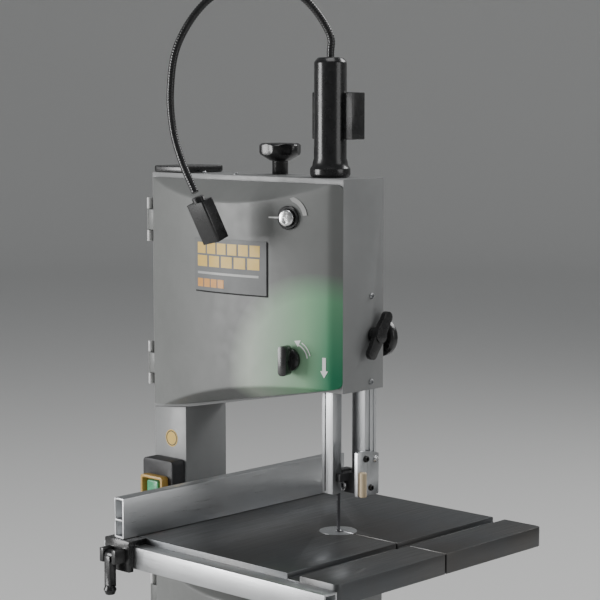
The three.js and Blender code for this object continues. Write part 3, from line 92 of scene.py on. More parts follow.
# ---- Node materials ----
class Shader:
    """A Principled material with helpers for procedural detail in object space."""

    def __init__(self, name, color, roughness, metallic=0.0, coat=0.0):
        self.material = bpy.data.materials.new(name)
        self.material.use_nodes = True
        self.tree = self.material.node_tree
        self.bsdf = self.tree.nodes["Principled BSDF"]
        self.bsdf.inputs["Base Color"].default_value = (*color, 1)
        self.bsdf.inputs["Roughness"].default_value = roughness
        self.bsdf.inputs["Metallic"].default_value = metallic
        self.bsdf.inputs["Coat Weight"].default_value = coat
        self.bsdf.inputs["Coat Roughness"].default_value = 0.15
        self.coords = self.node("ShaderNodeTexCoord")

    def node(self, kind, **values):
        made = self.tree.nodes.new(kind)
        for key, value in values.items():
            if key in made.inputs:
                made.inputs[key].default_value = value
            else:
                setattr(made, key, value)
        return made

    def link(self, source, target):
        self.tree.links.new(source, target)

    def stretched(self, scale):
        mapping = self.node("ShaderNodeMapping")
        mapping.inputs["Scale"].default_value = scale
        self.link(self.coords.outputs["Object"], mapping.inputs["Vector"])
        return mapping.outputs["Vector"]

    def noise(self, scale, detail=3, roughness=0.5, stretch=(1, 1, 1)):
        made = self.node("ShaderNodeTexNoise", Scale=scale, Detail=detail, Roughness=roughness)
        self.link(self.stretched(stretch), made.inputs["Vector"])
        return made.outputs["Fac"]

    def span(self, source, start, end, from_low=0.0, from_high=1.0):
        made = self.node("ShaderNodeMapRange")
        made.inputs["From Min"].default_value = from_low
        made.inputs["From Max"].default_value = from_high
        made.inputs["To Min"].default_value = start
        made.inputs["To Max"].default_value = end
        self.link(source, made.inputs["Value"])
        return made.outputs["Result"]

    def blend(self, factor, first, second):
        made = self.node("ShaderNodeMix", data_type="RGBA")
        for socket, value in (("A", first), ("B", second)):
            target = [s for s in made.inputs if s.name == socket and s.type == "RGBA"][0]
            if isinstance(value, tuple):
                target.default_value = (*value, 1)
            else:
                self.link(value, target)
        self.link(factor, made.inputs["Factor"])
        return [s for s in made.outputs if s.type == "RGBA"][0]

    def color(self, source):
        self.link(source, self.bsdf.inputs["Base Color"])

    def roughness(self, source):
        self.link(source, self.bsdf.inputs["Roughness"])

    def bump(self, height, strength, distance):
        made = self.node("ShaderNodeBump", Strength=strength, Distance=distance)
        self.link(height, made.inputs["Height"])
        self.link(made.outputs["Normal"], self.bsdf.inputs["Normal"])

    def axis(self, name):
        split = self.node("ShaderNodeSeparateXYZ")
        self.link(self.coords.outputs["Object"], split.inputs["Vector"])
        return split.outputs[name]


def mixed(color, share, towards=(1, 1, 1)):
    return tuple(a * (1 - share) + b * share for a, b in zip(color, towards))


def paint(name, color, roughness=0.42, grain=1.0):
    made = Shader(name, color, roughness, coat=0.15)
    cloud = made.noise(9, 4, 0.6)
    dark, light = mixed(color, 0.08, (0, 0, 0)), mixed(color, 0.04)
    made.color(made.blend(made.span(cloud, 0, 1, 0.3, 0.7), dark, light))
    made.roughness(made.span(made.noise(60, 3), roughness - 0.05, roughness + 0.08, 0.3, 0.7))
    made.bump(made.noise(900, 2), 0.12 * grain, 0.15 * MM)
    return made


def plastic(name, color, roughness=0.3, grain=0.1, coat=0.1):
    made = Shader(name, color, roughness, coat=coat)
    scuffs = made.noise(140, 5, 0.7)
    made.color(made.blend(made.span(scuffs, 0, 1, 0.35, 0.75), color, mixed(color, 0.012)))
    made.roughness(made.span(made.noise(45, 4, 0.6), roughness - 0.04, roughness + 0.08, 0.3, 0.7))
    made.bump(made.noise(1600, 2), grain, 0.1 * MM)
    return made


def brushed(name, color, roughness, along, grain=0.25):
    """Metal with fine lines along one axis."""
    stretch = tuple(0.02 if i == along else 1 for i in range(3))
    made = Shader(name, color, roughness, metallic=1.0)
    lines = made.noise(900, 3, 0.7, stretch)
    cloud = made.span(made.noise(14, 4), 0, 1, 0.3, 0.7)
    made.color(made.blend(cloud, mixed(color, 0.12, (0, 0, 0)), color))
    made.roughness(made.span(lines, roughness - 0.08, roughness + 0.16, 0.3, 0.7))
    made.bump(lines, grain, 0.05 * MM)
    return made


def cast(name, color, roughness=0.55, metallic=0.3):
    """Cast iron, pitted and slightly uneven."""
    made = Shader(name, color, roughness, metallic=metallic)
    made.color(made.blend(made.noise(35, 5, 0.65), mixed(color, 0.25, (0, 0, 0)), mixed(color, 0.08)))
    made.roughness(made.span(made.noise(120, 4), roughness - 0.08, roughness + 0.12, 0.3, 0.7))
    made.bump(made.noise(520, 4, 0.65), 0.3, 0.3 * MM)
    return made


def ground_iron(name, color):
    """The ground table top: fine parallel grinding marks with faint stains."""
    made = Shader(name, color, 0.36, metallic=0.8)
    marks = made.noise(700, 4, 0.7, (1, 0.015, 1))
    stains = made.noise(7, 6, 0.62)
    made.color(made.blend(made.span(stains, 0, 1, 0.4, 0.7), color, mixed(color, 0.3, (0.12, 0.09, 0.06))))
    made.roughness(made.span(marks, 0.27, 0.5, 0.3, 0.7))
    made.bump(marks, 0.2, 0.05 * MM)
    return made


def door_paint(name):
    """Satin grey with a painted pool of lamp light at the lower right of the upper door: a round green patch,
    deepest at the lower right, paling to a painted sheen at its left.
    """
    grey = (0.16, 0.165, 0.16)
    # Colours of the painted pool of lamp light: a pale painted sheen at its left, lit green, and deep green at
    # the lower right.
    pale = (0.42, 0.47, 0.4)
    lamp_lit_green = (0.24, 0.46, 0.27)
    green = (0.01, 0.2, 0.095)
    made = Shader(name, grey, 0.48, coat=0.08)
    centre = made.node("ShaderNodeCombineXYZ")
    centre.inputs["X"].default_value = 146 * MM
    centre.inputs["Z"].default_value = 0.586
    flat = made.node("ShaderNodeCombineXYZ")
    made.link(made.axis("X"), flat.inputs["X"])
    made.link(made.axis("Z"), flat.inputs["Z"])
    distance = made.node("ShaderNodeVectorMath", operation="DISTANCE")
    made.link(flat.outputs["Vector"], distance.inputs[0])
    made.link(centre.outputs["Vector"], distance.inputs[1])
    # Mask of the painted pool of lamp light, a round patch centred low at the door's right.
    lamp_pool_mask = made.span(distance.outputs["Value"], 1, 0, 98 * MM, 132 * MM)
    across = made.span(made.axis("X"), 0, 1, 50 * MM, 135 * MM)
    edge = made.span(made.axis("X"), 0, 1, 132 * MM, 168 * MM)
    down = made.span(made.axis("Z"), 1, 0.35, 0.585, 0.70)
    strong = made.node("ShaderNodeMath", operation="MULTIPLY")
    made.link(edge, strong.inputs[0])
    made.link(down, strong.inputs[1])
    # The painted pool of lamp light: painted sheen to lit green across it, deepest green at the lower right
    # edge.
    painted_lamp_pool = made.blend(strong.outputs["Value"], made.blend(across, pale, lamp_lit_green), green)
    cloud = made.span(made.noise(6, 4, 0.6), 0, 1, 0.3, 0.7)
    base = made.blend(cloud, mixed(grey, 0.1, (0, 0, 0)), mixed(grey, 0.03))
    made.color(made.blend(lamp_pool_mask, base, painted_lamp_pool))
    made.roughness(made.span(made.noise(70, 3), 0.43, 0.55, 0.3, 0.7))
    made.bump(made.noise(800, 2), 0.1, 0.12 * MM)
    return made


MATERIALS = {
    "frame_paint": paint("frame_paint", (0.24, 0.245, 0.245)),
    "door_paint": door_paint("door_paint"),
    "hinge_paint": paint("hinge_paint", (0.68, 0.68, 0.67)),
    "black_plastic": plastic("black_plastic", (0.005, 0.005, 0.0055), 0.26, 0.05, 0.3),
    "cast_iron": ground_iron("cast_iron", (0.11, 0.115, 0.12)),
    "cast_parts": cast("cast_parts", (0.03, 0.03, 0.033)),
    "aluminium": brushed("aluminium", (0.62, 0.63, 0.64), 0.32, 2),
    "drawn_rail": brushed("drawn_rail", (0.62, 0.63, 0.64), 0.34, 0),
    "drawn_fence": brushed("drawn_fence", (0.6, 0.61, 0.62), 0.34, 1),
    "steel": brushed("steel", (0.5, 0.51, 0.52), 0.26, 2),
    "rubber": plastic("rubber", (0.015, 0.015, 0.015), 0.75, 0.35, 0),
    "switch_plastic": plastic("switch_plastic", (0.022, 0.022, 0.024), 0.5, 0.35, 0),
    "yellow_plastic": plastic("yellow_plastic", (0.48, 0.29, 0.06), 0.34, 0.15),
    "green_plastic": plastic("green_plastic", (0.06, 0.36, 0.17), 0.22),
    "red_plastic": plastic("red_plastic", (0.5, 0.02, 0.015), 0.22),
}
EXTRA = {
    "white_paint": paint("white_paint", (0.95, 0.95, 0.94)),
    "frame_grey": paint("frame_grey", (0.4, 0.4, 0.39)),
    "yellow_print": paint("yellow_print", (0.75, 0.48, 0.06), 0.5),
    "orange_print": paint("orange_print", (0.7, 0.3, 0.03), 0.5),
    "label_grey": plastic("label_grey", (0.14, 0.145, 0.145), 0.5, 0.1, 0),
    "chrome": brushed("chrome", (0.9, 0.9, 0.9), 0.14, 0, 0.02),
    "blade_steel": brushed("blade_steel", (0.16, 0.16, 0.17), 0.34, 2),
    "nylon": plastic("nylon", (0.62, 0.5, 0.33), 0.45),
    "lamp_lens": plastic("lamp_lens", (0.75, 0.77, 0.78), 0.12),
    # Near-black sheet material, used only for painted shade and painted shadow.
    "painted_shade": plastic("painted_shade", (0.006, 0.006, 0.006), 0.8, 0.2, 0),
}


def shade(obj, name, body):
    made = MATERIALS.get(name) or EXTRA[name]
    obj.data.materials.clear()
    obj.data.materials.append(made.material)
    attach(obj, body)
    return obj


# ---- Mesh helpers ----
def finished(name, bm, angle=35):
    """The bmesh as an object, clean and smooth up to an angle."""
    bmesh.ops.remove_doubles(bm, verts=bm.verts, dist=0.004 * MM)
    bmesh.ops.dissolve_degenerate(bm, edges=bm.edges, dist=0.002 * MM)
    bmesh.ops.recalc_face_normals(bm, faces=bm.faces)
    mesh = bpy.data.meshes.new(name)
    for face in bm.faces:
        face.smooth = True
    for edge in bm.edges:
        if len(edge.link_faces) == 2 and edge.calc_face_angle(0) > math.radians(angle):
            edge.smooth = False
    bm.to_mesh(mesh)
    bm.free()
    obj = bpy.data.objects.new(name, mesh)
    bpy.context.scene.collection.objects.link(obj)
    return obj


def bevel(bm, width, segments=2, angle=32):
    edges = [e for e in bm.edges if len(e.link_faces) == 2 and e.calc_face_angle(0) > math.radians(angle)]
    bmesh.ops.bevel(
        bm,
        geom=edges,
        offset=width,
        segments=segments,
        affect="EDGES",
        clamp_overlap=True,
        profile=0.5,
    )


def rounded_box(bm, lo, hi, width=0.8 * MM, segments=2, matrix=Matrix()):
    """Adds a block with rounded edges."""
    part = bmesh.new()
    bmesh.ops.create_cube(part, size=1)
    size = Vector(hi) - Vector(lo)
    centre = (Vector(hi) + Vector(lo)) / 2
    bmesh.ops.scale(part, vec=size, verts=part.verts)
    bmesh.ops.translate(part, vec=centre, verts=part.verts)
    bevel(part, min(width, min(size) * 0.45), segments)
    add(bm, part, matrix)


def lathe(bm, profile, matrix=Matrix(), sides=40):
    """Adds a turned piece about local Z from [radius, z] points."""
    part = bmesh.new()
    rings = []
    for radius, z in profile:
        if radius < 1e-7:
            rings.append([part.verts.new((0, 0, z))])
            continue
        ring = []
        for i in range(sides):
            turn = math.tau * i / sides
            ring.append(part.verts.new((radius * math.cos(turn), radius * math.sin(turn), z)))
        rings.append(ring)
    for first, second in zip(rings, rings[1:]):
        for i in range(sides):
            k = (i + 1) % sides
            if len(first) == 1:
                part.faces.new((first[0], second[k], second[i]))
            elif len(second) == 1:
                part.faces.new((first[i], first[k], second[0]))
            else:
                part.faces.new((first[i], first[k], second[k], second[i]))
    add(bm, part, matrix)


def prism(bm, outline, depth, matrix=Matrix(), width=0.0, segments=2):
    """Adds an outline in local XY, drawn out to +Z."""
    part = bmesh.new()
    base = [part.verts.new((x, y, 0)) for x, y in outline]
    face = part.faces.new(base)
    drawn = bmesh.ops.extrude_face_region(part, geom=[face])
    tops = [g for g in drawn["geom"] if isinstance(g, bmesh.types.BMVert)]
    bmesh.ops.translate(part, vec=(0, 0, depth), verts=tops)
    if width:
        bevel(part, width, segments, 40)
    add(bm, part, matrix)


def add(bm, part, matrix):
    bmesh.ops.recalc_face_normals(part, faces=part.faces)
    bmesh.ops.transform(part, matrix=matrix, verts=part.verts)
    mesh = bpy.data.meshes.new("scratch")
    part.to_mesh(mesh)
    part.free()
    bm.from_mesh(mesh)
    bpy.data.meshes.remove(mesh)


def facing(origin, outward, up=(0, 0, 1)):
    """A frame whose local Z looks outward and whose local Y is up."""
    z = Vector(outward).normalized()
    x = Vector(up).cross(z).normalized()
    y = z.cross(x)
    matrix = Matrix((x, y, z)).transposed().to_4x4()
    matrix.translation = Vector(origin)
    return matrix


# ---- CAD nodes with rounded edges ----
def refined(node, material, width=0.6 * MM, segments=2, angle=32):
    """A copy of the node with its edges rounded, which stands for it."""
    bm = bmesh.new()
    bm.from_mesh(frame["nodes"][node].data)
    bmesh.ops.remove_doubles(bm, verts=bm.verts, dist=0.004 * MM)
    bmesh.ops.dissolve_limit(
        bm,
        angle_limit=math.radians(0.6),
        verts=bm.verts,
        edges=bm.edges,
        use_dissolve_boundaries=False,
    )
    bevel(bm, width, segments, angle)
    obj = finished(node + "_finish", bm)
    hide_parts(node)
    return shade(obj, material, NODE_BODY[node])


def coated(node, material):
    """Gives a CAD node its material."""
    obj = frame["nodes"][node]
    made = MATERIALS.get(material) or EXTRA[material]
    obj.data.materials.clear()
    obj.data.materials.append(made.material)
    for face in obj.data.polygons:
        face.use_smooth = False


# ---- Doors ----
def smooth_min(a, b, k):
    h = max(k - abs(a - b), 0) / k
    return min(a, b) - h * h * k / 4


class Door:
    """A bow-fronted door panel, bevelled at its top, bottom and sides."""

    corner = 8 * MM

    def __init__(self, node, bottom, slope):
        self.node = node
        self.right = high(node).x
        self.left = LEFT + 2 * MM
        self.top = high(node).z
        self.bottom = bottom
        self.slope = slope

    def bow(self, x):
        half = (self.right - self.left) / 2 - DOOR_EDGE
        u = (x - (self.left + self.right) / 2) / half
        ends = min(x - self.left, self.right - x)
        front = DOOR_EDGE + DOOR_BULGE * (1 - u * u)
        return smooth_min(ends, front, 2.5 * MM)

    def low_edge(self, x):
        return self.bottom[-1][1] + self.slope * (x - self.right)

    def depth(self, x, z):
        top = DOOR_EDGE + (self.top - z) * 60 / 52
        bottom = DOOR_EDGE + (z - self.low_edge(x)) * 60 / 38
        made = smooth_min(self.bow(x), top, 3 * MM)
        return max(smooth_min(made, bottom, 3 * MM), 0)

    def rounding(self, x):
        end = min(x - self.left, self.right - x)
        if end >= self.corner:
            return 0
        gap = self.corner - max(end, 0)
        return self.corner - math.sqrt(max(self.corner**2 - gap**2, 0))

    def span(self, x):
        """The lowest and highest z of the panel at x."""
        low_z = self.bottom[-1][1]
        for (xa, za), (xb, zb) in zip(self.bottom, self.bottom[1:]):
            if xa <= x <= xb:
                low_z = za + (zb - za) * (x - xa) / (xb - xa)
        return low_z + self.rounding(x), self.top - self.rounding(x)

    def columns(self):
        edge, r = DOOR_EDGE, 2.2 * MM
        made = [self.left + (edge - r) * (1 - math.cos(math.pi / 2 * i / 10)) for i in range(11)]
        made += [self.left + edge + r * k for k in (-0.5, 0, 0.5, 1)]
        count = 64
        start, end = self.left + edge + 2 * r, self.right - edge - 2 * r
        made += [start + (end - start) * i / count for i in range(count + 1)]
        mirror = [self.left + self.right - x for x in made[:15]]
        return sorted(set(made + mirror))

    def rows(self, x):
        low_z, high_z = self.span(x)
        bow = self.bow(x)
        under = self.low_edge(x) + max(bow - DOOR_EDGE, 0) * 38 / 60
        over = self.top - max(bow - DOOR_EDGE, 0) * 52 / 60
        small = 0.6 * MM
        under = min(max(under, low_z + small), (low_z + high_z) / 2 - small)
        over = max(min(over, high_z - small), (low_z + high_z) / 2 + small)
        near = min(2.4 * MM, (under - low_z) * 0.45)
        near_top = min(2.4 * MM, (high_z - over) * 0.45)
        made = [low_z + (under - near - low_z) * i / 6 for i in range(7)]
        made += [under - near / 2, under, under + near / 2]
        start, end = under + near, over - near_top
        made += [start + (end - start) * i / 26 for i in range(27)]
        made += [over - near_top / 2, over, over + near_top / 2]
        made += [over + near_top + (high_z - over - near_top) * i / 6 for i in range(7)]
        return made

    def build(self, body):
        bm = bmesh.new()
        outer, inner = [], []
        for x in self.columns():
            front, back = [], []
            centre = (self.left + self.right) / 2
            xi = centre + (x - centre) * (1 - 2 * DOOR_SHEET / (self.right - self.left))
            for z in self.rows(x):
                deep = self.depth(x, z)
                front.append(bm.verts.new((x, DOOR_BACK - deep, z)))
                low_z, high_z = self.span(x)
                share = (z - low_z) / (high_z - low_z)
                zi = z + DOOR_SHEET * (1 - 2 * share)
                back.append(bm.verts.new((xi, DOOR_BACK - max(deep - DOOR_SHEET, 0), zi)))
            outer.append(front)
            inner.append(back)
        for grid, turn in ((outer, False), (inner, True)):
            for a, b in zip(grid, grid[1:]):
                for i in range(len(a) - 1):
                    quad = (a[i], b[i], b[i + 1], a[i + 1])
                    bm.faces.new(quad[::-1] if turn else quad)
        rim_out, rim_in = self.rim(outer), self.rim(inner)
        back_out = [bm.verts.new((v.co.x, DOOR_BACK, v.co.z)) for v in rim_out]
        back_in = [bm.verts.new((v.co.x, DOOR_BACK, v.co.z)) for v in rim_in]
        loops = ((rim_out, back_out), (back_out, back_in), (back_in, rim_in))
        for first, second in loops:
            for i in range(len(first)):
                k = (i + 1) % len(first)
                quad = (first[i], first[k], second[k], second[i])
                if len({tuple(round(c, 7) for c in v.co) for v in quad}) > 2:
                    bm.faces.new(quad)
        self.knuckles(bm)
        obj = finished(self.node + "_panel", bm, 40)
        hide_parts(self.node)
        return shade(obj, "door_paint", body)

    @staticmethod
    def rim(grid):
        bottom = [column[0] for column in grid]
        top = [column[-1] for column in grid]
        return bottom + grid[-1][1:-1] + top[::-1] + grid[0][1:-1][::-1]

    def knuckles(self, bm):
        """The hinge barrels that turn with the door."""
        prefix = "upper_hinge_" if self.node == "upper_door" else "lower_hinge_"
        for i in (1, 2):
            node = prefix + str(i)
            radius = (LEFT - low(node).x) / 2 - 0.05 * MM
            x, y = low(node).x + radius, low(node).y + radius
            z0, z1 = low(node).z, high(node).z
            part = (z1 - z0) / 4
            profile = [(0, 0), (radius - 0.5 * MM, 0), (radius, 0.5 * MM)]
            length = 2 * part - 0.8 * MM
            profile += [(radius, length - 0.5 * MM), (radius - 0.5 * MM, length), (0, length)]
            lathe(bm, profile, Matrix.Translation((x, y, z0 + part + 0.4 * MM)), 24)
            rounded_box(
                bm,
                (x + 1 * MM, y - 2.4 * MM, z0 + part + 1 * MM),
                (self.left + 6.5 * MM, y - 0.3 * MM, z1 - part - 1 * MM),
                0.4 * MM,
            )

    def place(self, x, z, lift=0.0):
        """A frame on the door's face: local Z outward, local Y up."""
        step = 1 * MM
        slope = (self.bow(x + step) - self.bow(x - step)) / (2 * step)
        outward = Vector((-slope, -1, 0)).normalized()
        origin = Vector((x, DOOR_BACK - self.depth(x, z), z)) + outward * lift
        return facing(origin, outward)


# How far the upper door's lower edge rises for each unit to the right.
SLOPE = 47 / 245
upper_door = Door(
    "upper_door",
    [
        (LEFT + 2 * MM, TOP - 320.5 * MM),
        (LEFT + 82 * MM, TOP - 311.5 * MM),
        (RIGHT - 0.5 * MM, TOP - 263 * MM),
    ],
    SLOPE,
)
lower_door = Door(
    "lower_door",
    [(LEFT + 2 * MM, low("lower_door").z), (RIGHT - 0.5 * MM, low("lower_door").z)],
    0,
)
upper_door.build("upper_door")
lower_door.build("lower_door")

# ---- The other nodes ----
REFINED = {
    "upper_wheel_box": ("frame_paint", 0.9),
    "lower_wheel_box": ("frame_paint", 0.9),
    "column": ("frame_paint", 1.2),
    "column_cap": ("black_plastic", 2.0),
    "base_plate": ("cast_parts", 1.5),
    "dust_port": ("switch_plastic", 0.5),
    "upper_hinge_1": ("hinge_paint", 0.35),
    "upper_hinge_2": ("hinge_paint", 0.35),
    "lower_hinge_1": ("hinge_paint", 0.35),
    "lower_hinge_2": ("hinge_paint", 0.35),
    "upper_wheel": ("aluminium", 0.8),
    "lower_wheel": ("aluminium", 0.8),
    "upper_tyre": ("rubber", 0.8),
    "lower_tyre": ("rubber", 0.8),
    "upper_axle_arm": ("steel", 0.6),
    "tension_block": ("cast_parts", 0.7),
    "tension_rails": ("steel", 0.5),
    "tension_screw": ("steel", 0.4),
    "tension_knob": ("black_plastic", 1.6),
    "tracking_knob": ("black_plastic", 1.2),
    "lower_axle": ("steel", 0.5),
    "motor_pulley": ("aluminium", 0.5),
    "drive_belt": ("rubber", 0.5),
    "motor_body": ("cast_parts", 1.2),
    "guide_post": ("aluminium", 0.25),
    "post_guide": ("cast_parts", 0.5),
    "pinion_shaft": ("steel", 0.15),
    "rise_fall_handwheel": ("black_plastic", 1.2),
    "post_lock_knob": ("black_plastic", 1.5),
    "blade_guard": ("aluminium", 0.3),
    "guide_block": ("cast_parts", 0.6),
    "guide_plate": ("aluminium", 0.6),
    "upper_thrust_bearing": ("chrome", 0.3),
    "lower_thrust_bearing": ("chrome", 0.3),
    "guide_roller_left": ("chrome", 0.3),
    "guide_roller_right": ("chrome", 0.3),
    "lower_guide_block": ("cast_parts", 0.5),
    "table": ("cast_iron", 1.0),
    "table_insert": ("aluminium", 0.3),
    "table_trunnion": ("cast_parts", 0.8),
    "tilt_cradle": ("cast_parts", 0.8),
    "tilt_lock_knob": ("black_plastic", 1.2),
    "fence_rail": ("drawn_rail", 0.5),
    "fence_carriage": ("black_plastic", 1.0),
    "fence_body": ("drawn_fence", 0.4),
    "fence_lever": ("black_plastic", 1.0),
    "switch_box": ("switch_plastic", 1.8),
    "switch_surround": ("yellow_plastic", 1.2),
    "start_button": ("green_plastic", 1.5),
    "stop_button": ("red_plastic", 1.5),
    "upper_door_lock": ("chrome", 0.4),
    "upper_door_latch": ("black_plastic", 1.2),
    "lower_door_latch": ("black_plastic", 1.2),
    "lamp_post": ("black_plastic", 1.2),
    "lamp_head": ("black_plastic", 1.5),
}
for node, (material, width) in REFINED.items():
    refined(node, material, width * MM)
coated("tension_spring", "steel")


# ---- Saw blade with teeth ----
def saw_blade():
    """The band as one loop, with raked teeth along its front edge."""
    centre_x = middle("upper_wheel").x
    upper_z, lower_z = middle("upper_wheel").z, (low("lower_tyre").z + high("lower_tyre").z) / 2
    radius = BLADE_X - centre_x
    thick = 0.7 * MM
    front, back = low("saw_blade").y, high("saw_blade").y
    straight = upper_z - lower_z
    around = math.pi * radius
    total = 2 * (straight + around)
    teeth = round(total / (4.2 * MM))
    bm = bmesh.new()

    def at(s, offset):
        s %= total
        if s < straight:
            return centre_x + radius + offset, lower_z + s
        s -= straight
        if s < around:
            turn = s / radius
            return centre_x + (radius + offset) * math.cos(turn), upper_z + (radius + offset) * math.sin(turn)
        s -= around
        if s < straight:
            return centre_x - radius - offset, upper_z - s
        turn = math.pi + (s - straight) / radius
        return centre_x + (radius + offset) * math.cos(turn), lower_z + (radius + offset) * math.sin(turn)

    rings = []
    for i in range(teeth):
        for share, reach in ((0.0, 0.0), (0.3, 1.15 * MM), (0.65, 1.25 * MM)):
            ring = []
            s = (i + share) * total / teeth
            tip = front + reach
            for y, offset in ((tip, -thick / 2), (back, -thick / 2), (back, thick / 2), (tip, thick / 2)):
                x, z = at(s, offset)
                ring.append(bm.verts.new((x, y, z)))
            rings.append(ring)
    for first, second in zip(rings, rings[1:] + rings[:1]):
        for i in range(4):
            k = (i + 1) % 4
            bm.faces.new((first[i], first[k], second[k], second[i]))
    obj = finished("saw_blade_band", bm, 30)
    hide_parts("saw_blade")
    shade(obj, "blade_steel", "frame")


saw_blade()


# ---- Gooseneck ----
def catmull(points, steps):
    """Points along a centripetal Catmull-Rom curve through the given points."""
    ends = [points[0] * 2 - points[1]] + points + [points[-1] * 2 - points[-2]]
    made = []
    for i in range(1, len(ends) - 2):
        p = ends[i - 1 : i + 3]
        t = [0.0]
        for a, b in zip(p, p[1:]):
            t.append(t[-1] + max((b - a).length, 1e-9) ** 0.5)
        for k in range(steps):
            u = t[1] + (t[2] - t[1]) * k / steps
            first = [
                p[j] * ((t[j + 1] - u) / (t[j + 1] - t[j])) + p[j + 1] * ((u - t[j]) / (t[j + 1] - t[j]))
                for j in range(3)
            ]
            second = [
                first[j] * ((t[j + 2] - u) / (t[j + 2] - t[j])) + first[j + 1] * ((u - t[j]) / (t[j + 2] - t[j]))
                for j in range(2)
            ]
            share = (u - t[1]) / (t[2] - t[1])
            made.append(second[0] * ((t[2] - u) / (t[2] - t[1])) + second[1] * share)
    made.append(points[-1])
    return made


def gooseneck():
    """A flexible tube of close beads, from the post's top to the lamp head."""
    top = high("lamp_post").z
    x = 118 * MM
    route = [
        (x, 0, top - 12 * MM),
        (x, 0, top + 6 * MM),
        (x, 0, top + 26 * MM),
        (x - 22 * MM, -26 * MM, top + 74 * MM),
        (x - 58 * MM, -68 * MM, top + 98 * MM),
        (x - 98 * MM, -116 * MM, top + 74 * MM),
        (x - 126 * MM, -146 * MM, top + 18 * MM),
        (x - 134 * MM, -153 * MM, top - 40 * MM),
        (x - 131 * MM, -152 * MM, top - 90 * MM),
        (x - 117 * MM, -151 * MM, top - 129 * MM),
        (x - 96 * MM, -147 * MM, top - 170 * MM),
    ]
    line = catmull([Vector(p) for p in route], 40)
    length = [0.0]
    for a, b in zip(line, line[1:]):
        length.append(length[-1] + (b - a).length)
    bead, sides, radius = 3.4 * MM, 16, 4.9 * MM
    rings_per_bead = 4
    count = int(length[-1] / bead) * rings_per_bead
    bm = bmesh.new()
    rings, side, k = [], Vector((1, 0, 0)), 0
    for i in range(count + 1):
        s = length[-1] * i / count
        while k < len(line) - 2 and length[k + 1] < s:
            k += 1
        t = (s - length[k]) / (length[k + 1] - length[k])
        point = line[k].lerp(line[k + 1], min(t, 1))
        along = (line[k + 1] - line[k]).normalized()
        side = (side - along * side.dot(along)).normalized()
        across = along.cross(side)
        r = radius * (1 - 0.09 * (1 - abs(math.sin(math.pi * i / rings_per_bead))))
        ring = []
        for n in range(sides):
            turn = math.tau * n / sides
            ring.append(bm.verts.new(point + side * (r * math.cos(turn)) + across * (r * math.sin(turn))))
        rings.append(ring)
    for first, second in zip(rings, rings[1:]):
        for i in range(sides):
            k2 = (i + 1) % sides
            bm.faces.new((first[i], first[k2], second[k2], second[i]))
    bm.faces.new(rings[0][::-1])
    bm.faces.new(rings[-1])
    obj = finished("lamp_gooseneck_tube", bm, 60)
    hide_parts("lamp_gooseneck")
    shade(obj, "black_plastic", "lamp")


gooseneck()


# ---- Marks, screws and fittings ----
def piece(name, bm, material, body, angle=35):
    return shade(finished(name, bm, angle), material, body)


def curved_plate(name, door, x0, x1, z0, z1, lift, thick, material, steps=14):
    """A thin plate that follows the door's bow."""
    bm = bmesh.new()
    columns = []
    for i in range(steps + 1):
        x = x0 + (x1 - x0) * i / steps
        column = []
        for out in (lift, lift + thick):
            place = door.place(x, (z0 + z1) / 2, out)
            for z in (z0, z1):
                column.append(bm.verts.new((place.translation.x, place.translation.y, z)))
        columns.append(column)
    for a, b in zip(columns, columns[1:]):
        bm.faces.new((a[2], b[2], b[3], a[3]))
        bm.faces.new((a[0], a[1], b[1], b[0]))
        bm.faces.new((a[0], b[0], b[2], a[2]))
        bm.faces.new((a[1], a[3], b[3], b[1]))
    bm.faces.new((columns[0][0], columns[0][2], columns[0][3], columns[0][1]))
    bm.faces.new((columns[-1][0], columns[-1][1], columns[-1][3], columns[-1][2]))
    bmesh.ops.recalc_face_normals(bm, faces=bm.faces)
    return piece(name, bm, material, door.node, 30)


def label():
    """A plain nameplate with two rows of blocks and a short bar, and no lettering."""
    door = upper_door
    x0, x1, z0, z1 = -50 * MM, 78 * MM, TOP - 150 * MM, TOP - 81 * MM
    # A dark sheet offset below and right of the plate: a painted shadow of the plate on the door.
    curved_plate(
        "label_shadow", door, x0 + 1.5 * MM, x1 + 2 * MM, z0 - 2 * MM, z1 - 1 * MM,
        0.05 * MM, 0.5 * MM, "painted_shade",
    )
    curved_plate(
        "label_plate", door, x0, x1, z0, z1, 0.1 * MM, 1.2 * MM, "label_grey",
    )
    rows = [(z1 - 20 * MM, 14.5 * MM, 6, "yellow_print"), (z1 - 37 * MM, 14.5 * MM, 5, "yellow_print")]
    for r, (z, height, blocks, material) in enumerate(rows):
        start = x0 + 7 * MM
        pitch = (x1 - x0 - 14 * MM) / blocks
        for i in range(blocks):
            a = start + pitch * i
            curved_plate(
                f"label_block_{r}_{i}", door, a, a + pitch * 0.84, z, z + height,
                1.25 * MM, 0.25 * MM, material, 3,
            )
    curved_plate(
        "label_line", door, x0 + 7 * MM, x1 - 12 * MM, z0 + 22 * MM, z0 + 25 * MM,
        1.25 * MM, 0.2 * MM, "frame_grey", 8,
    )
    for i in range(4):
        a = x0 + 7 * MM + i * 13 * MM
        curved_plate(
            f"label_bar_{i}", door, a, a + 11 * MM, z0 + 5 * MM, z0 + 16 * MM,
            1.25 * MM, 0.25 * MM, "orange_print", 2,
        )


label()


def arc_points(radius, start, end, steps=18):
    return [
        (radius * math.cos(math.radians(start + (end - start) * i / steps)),
         radius * math.sin(math.radians(start + (end - start) * i / steps)))
        for i in range(steps + 1)
    ]


def arc_band(bm, matrix, radius, width, start, end, thick):
    outer = arc_points(radius + width / 2, start, end)
    inner = arc_points(radius - width / 2, start, end)
    prism(bm, outer + inner[::-1], thick, matrix)


def arrow_head(bm, matrix, radius, angle, size, thick, turn=1):
    """A triangle at the end of an arc."""
    a = math.radians(angle)
    centre = Vector((radius * math.cos(a), radius * math.sin(a)))
    along = Vector((-math.sin(a), math.cos(a))) * turn
    out = Vector((math.cos(a), math.sin(a)))
    points = [centre + out * size * 0.6, centre + along * size, centre - out * size * 0.6]
    prism(bm, [tuple(p) for p in points], thick, matrix)


